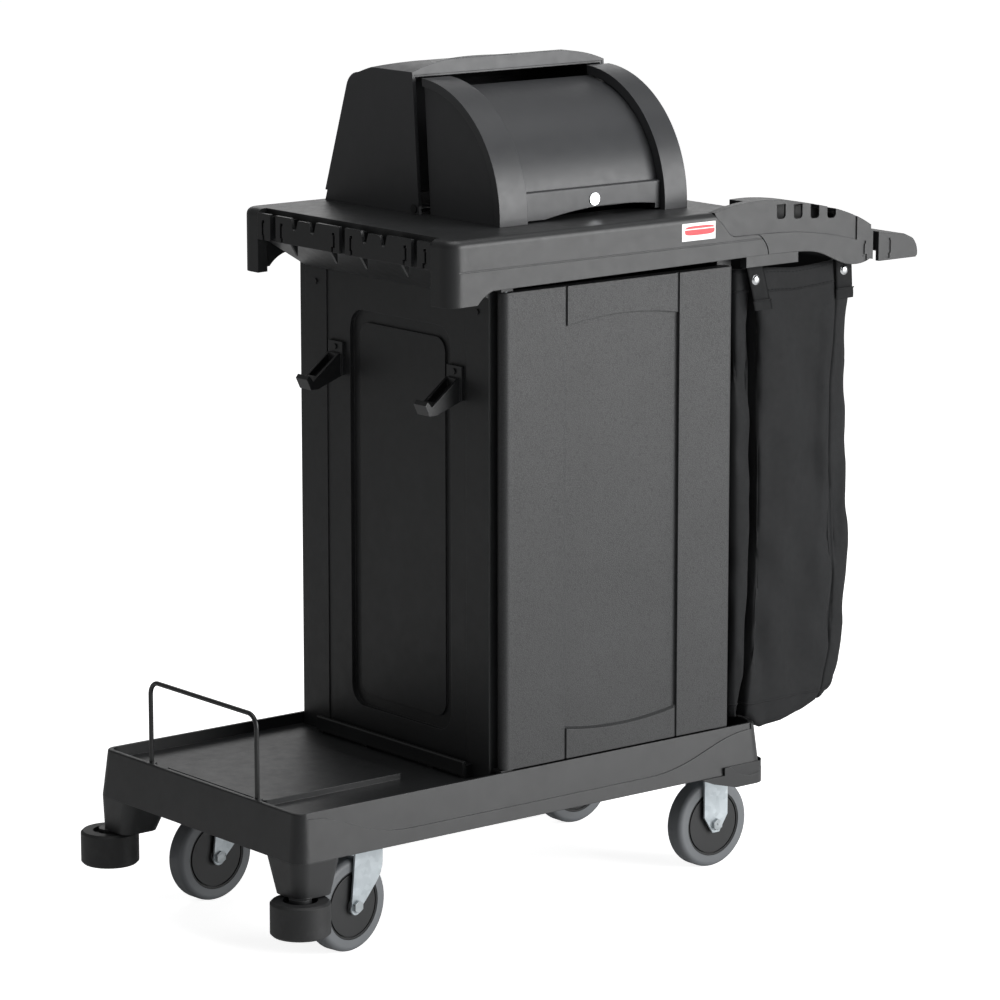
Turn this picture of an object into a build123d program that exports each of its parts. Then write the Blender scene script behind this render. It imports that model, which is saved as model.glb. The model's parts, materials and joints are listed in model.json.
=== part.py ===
from build123d import *
import os
from math import cos, radians, sin

# Housekeeping cart, millimetres. Z is up and the floor is z = 0.
# Lengths along the cart are measured from the deck's platform end, x = 0, towards the bag.
# Widths are measured from the middle plane: the door side is -Y, the closed back is +Y.
# Every piece is moved along X when it is saved, so that the cart's box is centred on the origin.

# ================================================================ driving dimensions
# moulded deck
deck_length = 812.0
deck_width = 466.0
deck_bottom = 154.0
deck_height = 65.0
deck_draft = 7.0            # each wall leans in by this much over its height
deck_corner = 20.0
deck_wall = 5.0
rim_width = 6.0             # flat top of the deck's edge
tray_depth = 16.0           # tray floor below the rim
floor_skin = 4.0
pad_height = 8.0            # raised bucket pad above the tray floor
pad_start = 33.0
pad_length = 231.0
pad_width = 226.0
ledge_depth = 2.0           # step of the long flowing line on the two long walls
ledge_end_drop = 8.0        # that line below the rim, at the ends
ledge_mid_drop = 46.0       # that line below the rim, along the middle
ledge_fall_end = 190.0
ledge_rise_start = 600.0
rib_thickness = 3.5
rib_rise = 14.0             # ribs' lower edge above the deck's bottom

# platform end legs and bumper rollers
leg_top_length = 76.0
leg_top_width = 82.0
leg_foot = 60.0
leg_height = 48.0
leg_lean = 2.5
roller_radius = 40.0
roller_height = 46.0
roller_bottom = 58.0
roller_inset = 12.0         # roller axis inside the deck's corner, both ways
roller_bolt_radius = 5.0
roller_recess_radius = 23.0
roller_recess_depth = 6.0
roller_boss_radius = 15.0

# bag end corner blocks
block_length = 81.0
block_width = 48.0
block_drop = 20.0           # below the deck's bottom edge
block_lip = 11.0            # above the deck's bottom edge, outside its wall
block_proud = 3.5
block_nose = 42.0           # length of the thinner nose towards the platform

# casters
wheel_radius = 63.5
wheel_width = 30.0
tread_shoulder = 7.5        # rounding between tread and side
hub_radius = 47.0
hub_groove = 2.0            # ring groove near the hub's edge
hub_groove_depth = 3.0
hub_edge = 2.5              # plain ring outside that groove
hub_boss_radius = 12.0
hub_boss_clear = 0.6        # hub boss to fork leg
axle_radius = 5.0
fork_steel = 3.0
fork_side_gap = 3.0         # wheel side to fork leg
caster_height = 157.0
caster_plate = 4.0
race_radius = 31.0
race_height = 12.0
kingpin_radius = 6.0
swivel_trail = 27.0
swivel_x = 158.0
swivel_half_track = 154.0
near_swivel_yaw = 9.5       # both front casters stand a little turned
far_swivel_yaw = 3.5
rigid_x = 777.0
rigid_half_track = 150.0
plate_length = 92.0
plate_width = 70.0
plate_bolt_pitch_x = 74.0
plate_bolt_pitch_y = 54.0
plate_bolt_radius = 3.2
plate_bolt_head = 5.5

# wire guard
wire_radius = 3.2
guard_width = 244.0
guard_height = 112.0
guard_inset = 16.0
guard_bend = 18.0
guard_depth = 14.0          # how far each end goes down into the rim

# cabinet
cabinet_start = 341.0
cabinet_length = 426.0
cabinet_top = 900.0
post_length = 26.0
post_width = 49.0
panel_thickness = 12.0
end_panel_inset = 1.5       # panel face behind the posts' faces
field_width = 223.0         # recessed field of the platform end panel
field_height = 556.0
field_bottom = 255.0
field_shift = -8.5
field_depth = 7.0
field_corner = 28.0
back_panel_thickness = 14.0
shelf_thickness = 12.0
lower_shelf_height = 430.0
upper_shelf_height = 650.0
door_inset = 8.0            # door face behind the deck's side
door_thickness = 20.0
door_gap = 3.0
door_start = 348.0
door_length = 402.0
door_bottom = 222.0
door_top = 868.0
stile_left = 107.0
stile_right = 98.0
door_skin = 9.0
panel_set_back = 5.0        # centre panel behind the door's face
panel_slope = 3.5           # slope at the foot of the centre panel
liner_thickness = 3.0
fit_gap = 0.2
door_groove = 4.0
door_groove_depth = 2.5
arch_low = 45.0             # door top down to the arch's ends
arch_rise = 9.0
hinge_pin_radius = 3.0
hinge_pin_height = 26.0
running_clearance = 0.05
lug_thickness = 4.0
sill_height = 24.0
sill_thickness = 16.0
sill_length = 330.0

# broom hooks on the platform end panel
hook_centre = 132.0
hook_width = 32.0
hook_top = 762.0
hook_drop = 62.0
hook_reach = 52.0
hook_root = 46.0            # height of the hook's plate
screw_head = 4.0

# top
top_start = 252.0
end_lap = 0.5               # clearance of the top's end wall over the cabinet
end_lap_bottom = 886.0
seam_top = 709.0             # where the seam to the bag frame starts, at the top
top_height = 945.0
top_skirt_bottom = 875.0
part_line = 903.0
top_corner = 22.0
top_wall = 4.0
top_edge_round = 10.0
corner_skirt_bottom = 857.0
corner_skirt_length = 46.0
corner_skirt_width = 46.0
well_depth = 58.0
well_margin = 22.0
well_front_margin = 34.0
well_wall = 3.0
tongue_end = 807.0
seam_gap = 1.5

label_length = 60.0
label_height = 24.0
label_thickness = 0.4

# tool rack on the platform end of the top
rack_plate = 5.0
rack_height = 36.0
rack_top = 940.0
holder_length = 144.0
holder_gap = 13.0
tab_length = 27.0
half_clip = 29.0
rack_recess = 16.0          # top's end edge behind the rack's face
rack_stand_off = 20.0
rack_notch_depth = 17.0
rack_notch_round = 4.5
rack_notch_flare = 4.0      # each side of a notch leans out by this much
rack_notch_first = 29.0     # notch centres from the holder's middle
rack_notch_second = 12.0
clip_slot_width = 2.6
clip_slot_wide = 4.5

# hood
hood_start = 385.0
hood_end = 722.0
hood_axis_y = 14.0
hood_axis_height = 8.0      # above the top
band_radius = 177.0
skin_radius = 162.0
hood_wall = 3.0
hood_slot = 14.0            # gap between the cheeks and the rear housing
cheek_recess = 4.0          # cheek side behind its band
cheek_band = 11.0           # width of that band
cheek_inset = 6.0           # cheek sides behind the housing's sides
left_band = 54.0
right_band = 42.0
housing_front_height = 192.0
housing_rear_height = 160.0
housing_rear_y = 216.0
housing_rear_lean = 51.0
housing_crown = 14.0
housing_lip = 21.0          # front lip over the door, below the crown
housing_jamb = 6.0          # the same lip down each side
rail_height = 34.0
rail_proud = 5.0
pivot_radius = 4.0
lock_radius = 6.5
lock_height = 16.0          # above the rail's bottom edge

# bag frame and handle
handle_end = 1091.0
handle_height = 955.0
arm_width = 42.0
arm_wall = 5.0
root_width = 14.0
clip_gap_start = 1005.0
clip_gap = 11.0
clip_gap_depth = 30.0
beam_start = 1030.0
beam_bottom = 852.0
notch_count = 4
notch_first = 832.5
notch_pitch = 31.5
notch_width = 16.0
notch_depth = 20.0
notch_corner = 5.0
notch_reach = 18.0          # how far a notch goes in from the side
band_proud = 2.0            # lower band outside the arm's upper face

# bag
bag_start = 773.0
first_strap = 812.0
bag_end = 984.0
bag_width = 420.0
bag_top = 857.0
bag_bottom = 206.0
bag_wall = 2.5
strap_width = 26.0
strap_length = 66.0
strap_thickness = 2.4
snap_radius = 7.0

# ================================================================ derived places
deck_half = deck_width / 2
deck_top = deck_bottom + deck_height
tray_floor = deck_top - tray_depth
rim_inner_x = deck_draft + rim_width
rim_half = deck_half - deck_draft - rim_width
cart_start = roller_inset - roller_radius
centre_shift = -(cart_start + handle_end) / 2
door_face = -deck_half + door_inset
door_back = door_face + door_thickness
post_front = door_back + door_gap
cabinet_end = cabinet_start + cabinet_length
top_end = cabinet_end + end_lap + top_wall
door_end = door_start + door_length
back_face = rim_half - 1.0
back_inner = back_face - back_panel_thickness
hood_axis_z = top_height + hood_axis_height
wheel_span = wheel_width / 2 + fork_side_gap
axle_x_offset = -swivel_trail
fork_top = caster_height - caster_plate - race_height
roller_y = deck_half - roller_inset
rack_half = holder_length + holder_gap * 1.5 + half_clip
roller_top = roller_bottom + roller_height

os.makedirs("parts", exist_ok=True)


def save(name, *shapes):
    """Write one node, moved so that the cart's box is centred along X."""
    solids = []
    for shape in shapes:
        solids.extend(shape.solids())
    moved = [Pos(centre_shift, 0, 0) * solid for solid in solids]
    node = moved[0] if len(moved) == 1 else Compound(children=moved)
    export_step(node, f"parts/{name}.step")


def block(x0, x1, y0, y1, z0, z1):
    """A box between two corners."""
    return Pos((x0 + x1) / 2, (y0 + y1) / 2, (z0 + z1) / 2) * Box(x1 - x0, y1 - y0, z1 - z0)


def rounded_block(x0, x1, y0, y1, z0, z1, radius):
    """A box whose upright edges are rounded."""
    outline = Pos((x0 + x1) / 2, (y0 + y1) / 2, z0) * RectangleRounded(x1 - x0, y1 - y0, radius)
    return extrude(outline, z1 - z0, dir=(0, 0, 1))


def drafted_block(x0, x1, half, z0, z1, lean, radius):
    """A box with rounded upright edges, centred on Y, that leans in on all sides."""
    middle = (x0 + x1) / 2
    low = Pos(middle, 0, z0) * RectangleRounded(x1 - x0, 2 * half, radius)
    high = Pos(middle, 0, z1) * RectangleRounded(x1 - x0 - 2 * lean, 2 * (half - lean), radius - lean / 2)
    return loft([low, high])


def upright(x, y, z, radius, height):
    """A cylinder standing on z."""
    return Pos(x, y, z + height / 2) * Cylinder(radius, height)


def across(x, y0, y1, z, radius):
    """A cylinder along Y from y0 to y1."""
    return Pos(x, (y0 + y1) / 2, z) * Rot(90, 0, 0) * Cylinder(radius, abs(y1 - y0))


def along(x0, x1, y, z, radius):
    """A cylinder along X from x0 to x1."""
    return Pos((x0 + x1) / 2, y, z) * Rot(0, 90, 0) * Cylinder(radius, abs(x1 - x0))


def side_plate(edges, y0, y1):
    """A plate whose outline is drawn in X and Z, between two Y planes."""
    face = make_face(edges)
    return Pos(0, y1, 0) * extrude(Plane.XZ * face, y1 - y0)


def end_plate(edges, x0, x1):
    """A plate whose outline is drawn in Y and Z, between two X planes."""
    face = make_face(edges)
    return Pos(x0, 0, 0) * extrude(Plane.YZ * face, x1 - x0)


def mirrored(shape):
    """The same piece on the other long side."""
    return mirror(shape, about=Plane.XZ)


def closed(points):
    """A closed outline of straight lines."""
    return Polyline(*points, close=True)


# ================================================================ deck
def ledge_line(x0, x1):
    """Outline of the wall area above the flowing line."""
    high = deck_top + 1
    ends = deck_top - ledge_end_drop
    middle = deck_top - ledge_mid_drop
    fall = Spline((x0, ends), ((x0 + ledge_fall_end) / 2, (ends + middle) / 2 - 4),
                  (ledge_fall_end, middle), tangents=[(1, 0), (1, 0)])
    level = Line((ledge_fall_end, middle), (ledge_rise_start, middle))
    rise = Spline((ledge_rise_start, middle), ((x1 + ledge_rise_start) / 2, (ends + middle) / 2 - 2),
                  (x1, ends), tangents=[(1, 0), (1, 0)])
    return [fall, level, rise, Line((x1, ends), (x1, high)), Line((x1, high), (x0, high)),
            Line((x0, high), (x0, ends))]


def caster_places():
    """Plan centre and turn of each caster: near swivel, far swivel, near rigid, far rigid."""
    return {
        "near_swivel": (swivel_x, -swivel_half_track, near_swivel_yaw),
        "far_swivel": (swivel_x, swivel_half_track, far_swivel_yaw),
        "near_rigid": (rigid_x, -rigid_half_track, 0.0),
        "far_rigid": (rigid_x, rigid_half_track, 0.0),
    }


def plate_bolts(x, y, z0, z1, radius, yaw=0.0):
    """The four bolts or holes of one caster plate."""
    bolts = []
    for sx in (-1, 1):
        for sy in (-1, 1):
            local = upright(sx * plate_bolt_pitch_x / 2, sy * plate_bolt_pitch_y / 2, z0, radius, z1 - z0)
            bolts.append(Pos(x, y, 0) * local)
    return bolts


def caster_plate_x(x):
    """Plan centre of a mounting plate, kept inside the deck's end wall."""
    return min(x, deck_length - deck_wall - 2 - plate_length / 2)


def deck_ribs(cavity_top):
    """Ribs under the tray floor, kept inside the leaning walls."""
    half_rib = rib_thickness / 2
    ribs = Part()
    for y in (-pad_width / 2, 0, pad_width / 2):
        ribs = ribs + block(0, deck_length, y - half_rib, y + half_rib, deck_bottom + rib_rise,
                            cavity_top + 1)
    for x in (pad_start + pad_length, cabinet_start + cabinet_length / 2):
        ribs = ribs + block(x - half_rib, x + half_rib, -deck_half, deck_half, deck_bottom + rib_rise,
                            cavity_top + 1)
    into_wall = deck_wall - 1
    return ribs & drafted_block(into_wall, deck_length - into_wall, deck_half - into_wall, deck_bottom,
                                deck_top,
                                deck_draft, deck_corner - into_wall)


def build_deck():
    """The platform moulding: a leaning tray with a hollow, ribbed underside."""
    outer = drafted_block(0, deck_length, deck_half, deck_bottom, deck_top, deck_draft, deck_corner)
    outer = fillet(outer.edges().group_by(Axis.Z)[-1], 2.5)
    recess = rounded_block(rim_inner_x, deck_length - rim_inner_x, -rim_half, rim_half,
                           tray_floor, deck_top + 1, deck_corner - rim_width)
    cavity_top = tray_floor - floor_skin
    hollow = drafted_block(deck_wall, deck_length - deck_wall, deck_half - deck_wall, deck_bottom - 1,
                           cavity_top, deck_draft * 0.7, deck_corner - deck_wall)
    deck = outer - recess - hollow
    above = drafted_block(-1, deck_length + 1, deck_half + 1, deck_bottom, deck_top, deck_draft,
                          deck_corner)
    front = block(0, deck_length, -deck_half - 2, 0, deck_bottom, deck_top + 1)
    inset = Pos(0, ledge_depth + 1, 0) * (above & front)
    line = ledge_line(deck_corner, deck_length - deck_corner)
    strip = side_plate(line, -deck_half - 1, -deck_half + 12) - inset
    deck = deck - strip - mirrored(strip)
    pad = rounded_block(pad_start, pad_start + pad_length, -pad_width / 2, pad_width / 2,
                        tray_floor - 1, tray_floor + pad_height, 6)
    deck = deck + pad + deck_ribs(cavity_top)
    for x, y, yaw in caster_places().values():
        px = caster_plate_x(x)
        deck = deck + rounded_block(px - plate_length / 2 - 6,
                                    min(px + plate_length / 2 + 6, deck_length - 3),
                                    y - plate_width / 2 - 6, y + plate_width / 2 + 6,
                                    caster_height, cavity_top + 1, 8)
    for x, y, yaw in caster_places().values():
        for hole in plate_bolts(caster_plate_x(x), y, caster_height - 1, caster_height + 26,
                                plate_bolt_radius):
            deck = deck - hole
    for side in (-1, 1):
        boss = upright(guard_inset, side * guard_width / 2, deck_top - guard_depth - 6, wire_radius + 4,
                       guard_depth + 6)
        deck = deck + (boss & drafted_block(0.5, deck_length, deck_half, deck_bottom, deck_top, deck_draft,
                                            deck_corner))
        deck = deck - upright(guard_inset, side * guard_width / 2, deck_top - guard_depth, wire_radius,
                              guard_depth + 2)
    return deck


def build_guard():
    """A bent wire hoop that stands in two holes of the rim."""
    z0 = deck_top - guard_depth
    z1 = deck_top + guard_height
    half = guard_width / 2
    path = FilletPolyline((guard_inset, -half, z0), (guard_inset, -half, z1), (guard_inset, half, z1),
                          (guard_inset, half, z0), radius=guard_bend)
    return sweep(Plane(origin=(guard_inset, -half, z0), z_dir=(0, 0, 1)) * Circle(wire_radius), path=path)


def build_leg():
    """Tapered leg under a platform corner, near side, with a boss for the roller."""
    top = deck_bottom
    foot = top - leg_height
    y0 = -deck_half
    high = Pos(leg_top_length / 2, y0 + leg_top_width / 2, top) * RectangleRounded(leg_top_length,
                                                                                 leg_top_width, deck_corner)
    low_middle = Pos(leg_lean + leg_foot / 2, y0 + leg_lean + leg_foot / 2, foot)
    low = low_middle * RectangleRounded(leg_foot, leg_foot, deck_corner - 3)
    leg = loft([low, high])
    boss = upright(roller_inset, -roller_y, roller_top - roller_recess_depth + 1, roller_boss_radius,
                   foot - roller_top + roller_recess_depth)
    leg = leg + boss
    gap = deck_wall + 4
    leg = leg + rounded_block(gap, leg_top_length - 8, y0 + gap, y0 + leg_top_width - 8, top - 1, top + 22,
                              12)
    return leg - upright(roller_inset, -roller_y, foot - 12, roller_bolt_radius, 40)


def build_roller():
    """Solid rubber bumper roller with a shallow recess on top."""
    body = upright(roller_inset, -roller_y, roller_bottom, roller_radius, roller_height)
    body = chamfer(body.edges().filter_by(GeomType.CIRCLE), 3)
    recess = upright(roller_inset, -roller_y, roller_top - roller_recess_depth, roller_recess_radius,
                     roller_recess_depth + 1)
    under = upright(roller_inset, -roller_y, roller_bottom - 1, roller_recess_radius,
                    roller_recess_depth + 1)
    bore = upright(roller_inset, -roller_y, roller_bottom - 1, roller_bolt_radius + running_clearance,
                   roller_height + 2)
    return body - recess - under - bore


def build_roller_bolt():
    """Upright bolt that carries a bumper roller, head below."""
    head_z = roller_bottom + roller_recess_depth - 5.05
    length = deck_bottom - leg_height + 28 - head_z
    shank = upright(roller_inset, -roller_y, head_z, roller_bolt_radius, length)
    head = Pos(roller_inset, -roller_y, head_z) * extrude(RegularPolygon(9, 6), 5)
    return shank + head


def build_corner_block():
    """Bumper block wrapped under a bag end corner, near side."""
    x1 = deck_length + block_proud
    x0 = deck_length - block_length + block_proud
    low = deck_bottom - block_drop
    y0 = -deck_half - block_proud
    nose = x0 - block_nose
    outline = closed([(nose, deck_bottom), (nose + 22, deck_bottom - 9), (x0 + 22, low), (x1 - 1, low),
                      (x1, deck_bottom + block_lip), (x0, deck_bottom + block_lip), (x0, deck_bottom)])
    body = side_plate(outline, y0, y0 + block_width)
    body = body - block(nose - 1, deck_length, -deck_half, deck_half, deck_bottom, deck_top)
    round_end = rounded_block(nose - 60, x1, y0, y0 + 400, low - 1, deck_top, deck_corner + block_proud)
    body = body & round_end
    scoop = side_plate([Line((x0 + 10, deck_bottom + block_lip + 1), (x1 - 8, deck_bottom + block_lip + 1)),
                        Line((x1 - 8, deck_bottom + block_lip + 1), (x1 - 10, deck_bottom - 1)),
                        Spline((x1 - 10, deck_bottom - 1), ((x0 + x1) / 2 + 5, deck_bottom - 6),
                               (x0 + 10, deck_bottom + block_lip + 1))],
                       y0 - 1, y0 + 2)
    return body - scoop


# ================================================================ casters
def build_wheel(x, y):
    """Hub and tyre of one wheel, axle along Y."""
    half = wheel_width / 2
    tyre = across(x, y - half, y + half, wheel_radius, wheel_radius)
    tyre = fillet(tyre.edges().filter_by(GeomType.CIRCLE), tread_shoulder)
    tyre = tyre - across(x, y - half - 1, y + half + 1, wheel_radius, hub_radius)
    hub = across(x, y - half + 1, y + half - 1, wheel_radius, hub_radius)
    for side in (-1, 1):
        face = y + side * half
        bottom = y + side * (half - 1 - hub_groove_depth)
        ring = across(x, face, bottom, wheel_radius, hub_radius - hub_edge)
        hub = hub - (ring - across(x, face, bottom, wheel_radius, hub_radius - hub_edge - hub_groove))
        hub = hub + across(x, y + side * (half - 1.5), y + side * (wheel_span - hub_boss_clear),
                           wheel_radius,
                           hub_boss_radius)
    hub = hub - across(x, y - half - 9, y + half + 9, wheel_radius, axle_radius + running_clearance)
    return hub, tyre


def build_axle(x, y):
    """Axle bolt with a hexagon head on the outside of each fork leg."""
    outside = wheel_span + fork_steel
    axle = across(x, y - outside - 4.5, y + outside + 8, wheel_radius, axle_radius)
    for y0, y1 in ((y - outside - 5.0, y - outside), (y + outside, y + outside + 6.0)):
        hexagon = Plane(origin=(x, y0, wheel_radius), z_dir=(0, 1, 0)) * RegularPolygon(8.5, 6)
        axle = axle + extrude(hexagon, y1 - y0)
    return axle


def swivel_leg_outline(x):
    """Fork leg of a swivel caster, axle at x, leaning forward under the head."""
    z = wheel_radius
    tip = ThreePointArc((x - 9, z + 2), (x - 1, z - 12), (x + 9, z - 3))
    front = Spline((x + 9, z - 3), (x + 31, z + 18), (x + 51, z + 56), tangents=[(1, 0.8), (0, 1)])
    rise = Line((x + 51, z + 56), (x + 51, fork_top))
    top = Line((x + 51, fork_top), (x - 1, fork_top))
    back = Line((x - 1, fork_top), (x - 9, z + 2))
    return [tip, front, rise, top, back]


def rigid_leg_outline(x):
    """Fork leg of a fixed caster, a straight strip with a pointed foot."""
    z = wheel_radius
    half = 21.5
    return closed([(x - half, fork_top + race_height), (x - half, z + 12), (x - 6, z - 12), (x + 6, z - 12),
                   (x + half, z + 12), (x + half, fork_top + race_height)])


def build_swivel_fork(x, y):
    """Bent steel fork: two legs under a round crown."""
    ax = x + axle_x_offset
    fork = None
    for side in (-1, 1):
        inner = side * wheel_span
        outer = side * (wheel_span + fork_steel)
        leg = side_plate(swivel_leg_outline(ax), y + min(inner, outer), y + max(inner, outer))
        leg = leg - across(ax, y + min(inner, outer) - 1, y + max(inner, outer) + 1, wheel_radius,
                           axle_radius)
        fork = leg if fork is None else fork + leg
    crown = upright(x, y, fork_top - fork_steel, race_radius, fork_steel)
    saddle = block(ax - 1, ax + 51, y - wheel_span - fork_steel, y + wheel_span + fork_steel,
                   fork_top - fork_steel, fork_top)
    fork = fork + crown + saddle
    return fork - upright(x, y, fork_top - 10, kingpin_radius + running_clearance, 20)


def build_swivel_plate(x, y):
    """Mounting plate with its ball race and kingpin."""
    plate = rounded_block(x - plate_length / 2, x + plate_length / 2, y - plate_width / 2,
                          y + plate_width / 2,
                          caster_height - caster_plate, caster_height, 6)
    race = upright(x, y, fork_top + 0.3, race_radius - 2, race_height - 0.3)
    race = chamfer(race.edges().group_by(Axis.Z)[0], 2.5)
    pin = upright(x, y, fork_top - fork_steel - 5.5, kingpin_radius, 18)
    cap = upright(x, y, fork_top - fork_steel - 5.5, kingpin_radius + 4, 5)
    plate = plate + race + pin + cap
    for hole in plate_bolts(x, y, caster_height - 10, caster_height + 1, plate_bolt_radius):
        plate = plate - hole
    return plate


def build_rigid_fork(x, y):
    """Fixed fork: two straight legs bent out of the mounting plate."""
    px = caster_plate_x(x)
    plate = rounded_block(px - plate_length / 2, px + plate_length / 2, y - plate_width / 2,
                          y + plate_width / 2,
                          caster_height - caster_plate, caster_height, 6)
    fork = plate
    for side in (-1, 1):
        inner = side * wheel_span
        outer = side * (wheel_span + fork_steel)
        leg = side_plate(rigid_leg_outline(x), y + min(inner, outer), y + max(inner, outer))
        leg = leg - across(x, y + min(inner, outer) - 1, y + max(inner, outer) + 1, wheel_radius,
                           axle_radius)
        fork = fork + leg
    for hole in plate_bolts(px, y, caster_height - 10, caster_height + 1, plate_bolt_radius):
        fork = fork - hole
    return fork


def turned(shape, x, y, yaw):
    """Turn a caster's piece about its swivel axis."""
    return Pos(x, y, 0) * Rot(0, 0, yaw) * Pos(-x, -y, 0) * shape


def build_caster_bolts():
    """The sixteen bolts that hold the four casters to the deck."""
    bolts = []
    under = caster_height - caster_plate
    for x, y, yaw in caster_places().values():
        shanks = plate_bolts(caster_plate_x(x), y, under - 0.5, caster_height + 24, plate_bolt_radius)
        heads = plate_bolts(caster_plate_x(x), y, under - 4.0, under, plate_bolt_head)
        bolts.extend(shank + head for shank, head in zip(shanks, heads))
    return bolts


def save_casters():
    """Write the nodes of the four casters; the two rigid ones share a node for their axles."""
    rigid_axles = []
    for name, (x, y, yaw) in caster_places().items():
        rigid = name.endswith("rigid")
        ax = x if rigid else x + axle_x_offset
        hub, tyre = build_wheel(ax, y)
        axle = build_axle(ax, y)
        save(f"{name}_hub", turned(hub, x, y, yaw))
        save(f"{name}_tyre", turned(tyre, x, y, yaw))
        if rigid:
            rigid_axles.append(axle)
            save(f"{name}_fork", build_rigid_fork(x, y))
        else:
            save(f"{name}_axle", turned(axle, x, y, yaw))
            save(f"{name}_fork", turned(build_swivel_fork(x, y), x, y, yaw))
            save(f"{name}_plate", build_swivel_plate(x, y))
    save("rigid_axles", *rigid_axles)


# ================================================================ cabinet
def build_posts(x0, x1):
    """Front and rear corner posts at one end of the cabinet, as one upright frame."""
    front = block(x0, x1, post_front, post_front + post_width, tray_floor, cabinet_top)
    rear = block(x0, x1, back_inner - post_width, back_inner, tray_floor, cabinet_top)
    return front, rear


def build_end_panel():
    """Panel at the platform end, with its recessed field."""
    x0 = cabinet_start + end_panel_inset
    y0 = post_front + post_width
    y1 = back_inner - post_width
    panel = block(x0, x0 + panel_thickness, y0, y1, tray_floor, cabinet_top)
    middle = (y0 + y1) / 2 + field_shift
    z = field_bottom + field_height / 2
    field = Plane(origin=(x0, middle, z), x_dir=(0, 1, 0), z_dir=(-1, 0, 0)) * RectangleRounded(
        field_width, field_height, field_corner)
    dish = extrude(field, -field_depth)
    inner = Plane(origin=(x0 + field_depth - 3, middle, z), x_dir=(0, 1, 0),
                  z_dir=(-1, 0, 0)) * RectangleRounded(
        field_width - 34, field_height - 34, field_corner - 8)
    raised = extrude(inner, -3)
    return panel - (dish - raised)


def build_bag_side_panel():
    """Plain panel at the bag end."""
    x1 = cabinet_end - end_panel_inset
    y0 = post_front + post_width
    y1 = back_inner - post_width
    return block(x1 - panel_thickness, x1, y0, y1, tray_floor, cabinet_top)


def build_back_panel():
    """Closed long side, over both rear posts, with two shallow upright grooves."""
    panel = block(cabinet_start, cabinet_end, back_inner, back_face, tray_floor, cabinet_top)
    panel = fillet(panel.edges().filter_by(Axis.Z).group_by(Axis.Y)[-1], 4)
    for x in (cabinet_start + cabinet_length * 0.25, cabinet_end - cabinet_length * 0.25):
        panel = panel - block(x - 2, x + 2, back_face - 2.5, back_face + 1, tray_floor + 30,
                              corner_skirt_bottom - 20)
    return panel


def inside_x():
    """Clear space between the two end panels."""
    return (cabinet_start + end_panel_inset + panel_thickness,
            cabinet_end - end_panel_inset - panel_thickness)


def build_shelf(z, thickness):
    """Tray shelf that fits between the end panels and around the four posts."""
    x0, x1 = inside_x()
    shelf = block(x0, x1, post_front + 1, back_inner, z, z + thickness)
    shelf = shelf - block(x0 + 12, x1 - 12, post_front + 12, back_inner - 12, z + 3, z + thickness + 1)
    for px0, px1 in ((x0 - 1, cabinet_start + post_length + 0.2),
                     (cabinet_end - post_length - 0.2, x1 + 1)):
        shelf = shelf - block(px0, px1, post_front, post_front + post_width + 0.2, z - 1, z + thickness + 1)
        shelf = shelf - block(px0, px1, back_inner - post_width - 0.2, back_inner + 1, z - 1,
                              z + thickness + 1)
    return shelf


def build_floor():
    """Cabinet floor, on the deck's tray floor."""
    x0, x1 = inside_x()
    floor = block(x0, x1, post_front + 1, back_inner, tray_floor, tray_floor + 5)
    for px0, px1 in ((x0 - 1, cabinet_start + post_length + 0.2),
                     (cabinet_end - post_length - 0.2, x1 + 1)):
        floor = floor - block(px0, px1, post_front, post_front + post_width + 0.2, tray_floor - 1,
                              tray_floor + 9)
        floor = floor - block(px0, px1, back_inner - post_width - 0.2, back_inner + 1, tray_floor - 1,
                              tray_floor + 9)
    return floor


def hinge_place():
    """Plan place of the door's hinge axis."""
    return door_start + door_thickness / 2, door_face + door_thickness / 2


def build_hinge_lugs():
    """Two lugs on the front post that hold the hinge pins."""
    x, y = hinge_place()
    lugs = []
    for z in (door_top + 1.0, door_bottom - 1.0 - lug_thickness):
        lug = block(x - 10, x + 10, y - hinge_pin_radius - 1.6, post_front, z, z + lug_thickness)
        lugs.append(lug - upright(x, y, z - 20, hinge_pin_radius, 60))
    return lugs


def build_hinge_pins():
    """Upper and lower hinge pins of the door."""
    x, y = hinge_place()
    upper = upright(x, y, door_top - hinge_pin_height + 10, hinge_pin_radius,
                    hinge_pin_height - 10 + 1 + lug_thickness)
    upper = upper + upright(x, y, door_top + 1 + lug_thickness, hinge_pin_radius + 1.5, 1.5)
    lower = upright(x, y, door_bottom - 1 - lug_thickness, hinge_pin_radius,
                    hinge_pin_height - 10 + 1 + lug_thickness)
    return upper, lower


def build_door():
    """Door moulding: round hinge edge, two grooves and an arched centre panel."""
    hx, hy = hinge_place()
    plate = block(hx, door_end, door_face, door_back, door_bottom, door_top)
    plate = fillet(plate.edges().filter_by(Axis.Z).group_by(Axis.X)[-1], 5)
    door = plate + upright(hx, hy, door_bottom, door_thickness / 2, door_top - door_bottom)
    left = door_start + stile_left
    right = door_end - stile_right
    groove_y = door_face + door_groove_depth
    for x in (left, right):
        door = door - block(x - door_groove / 2, x + door_groove / 2, door_face - 1, groove_y,
                            door_bottom - 1, door_top + 1)
    door = door - centre_panel(left - door_groove / 2, right + door_groove / 2)
    door = door - block(*door_pan(0), door_face + door_skin, door_back + 1, *door_pan_height(0))
    for z0, z1 in ((door_bottom - 1, door_bottom + hinge_pin_height),
                   (door_top - hinge_pin_height, door_top + 1)):
        door = door - upright(hx, hy, z0, hinge_pin_radius + running_clearance, z1 - z0)
    return door


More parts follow.
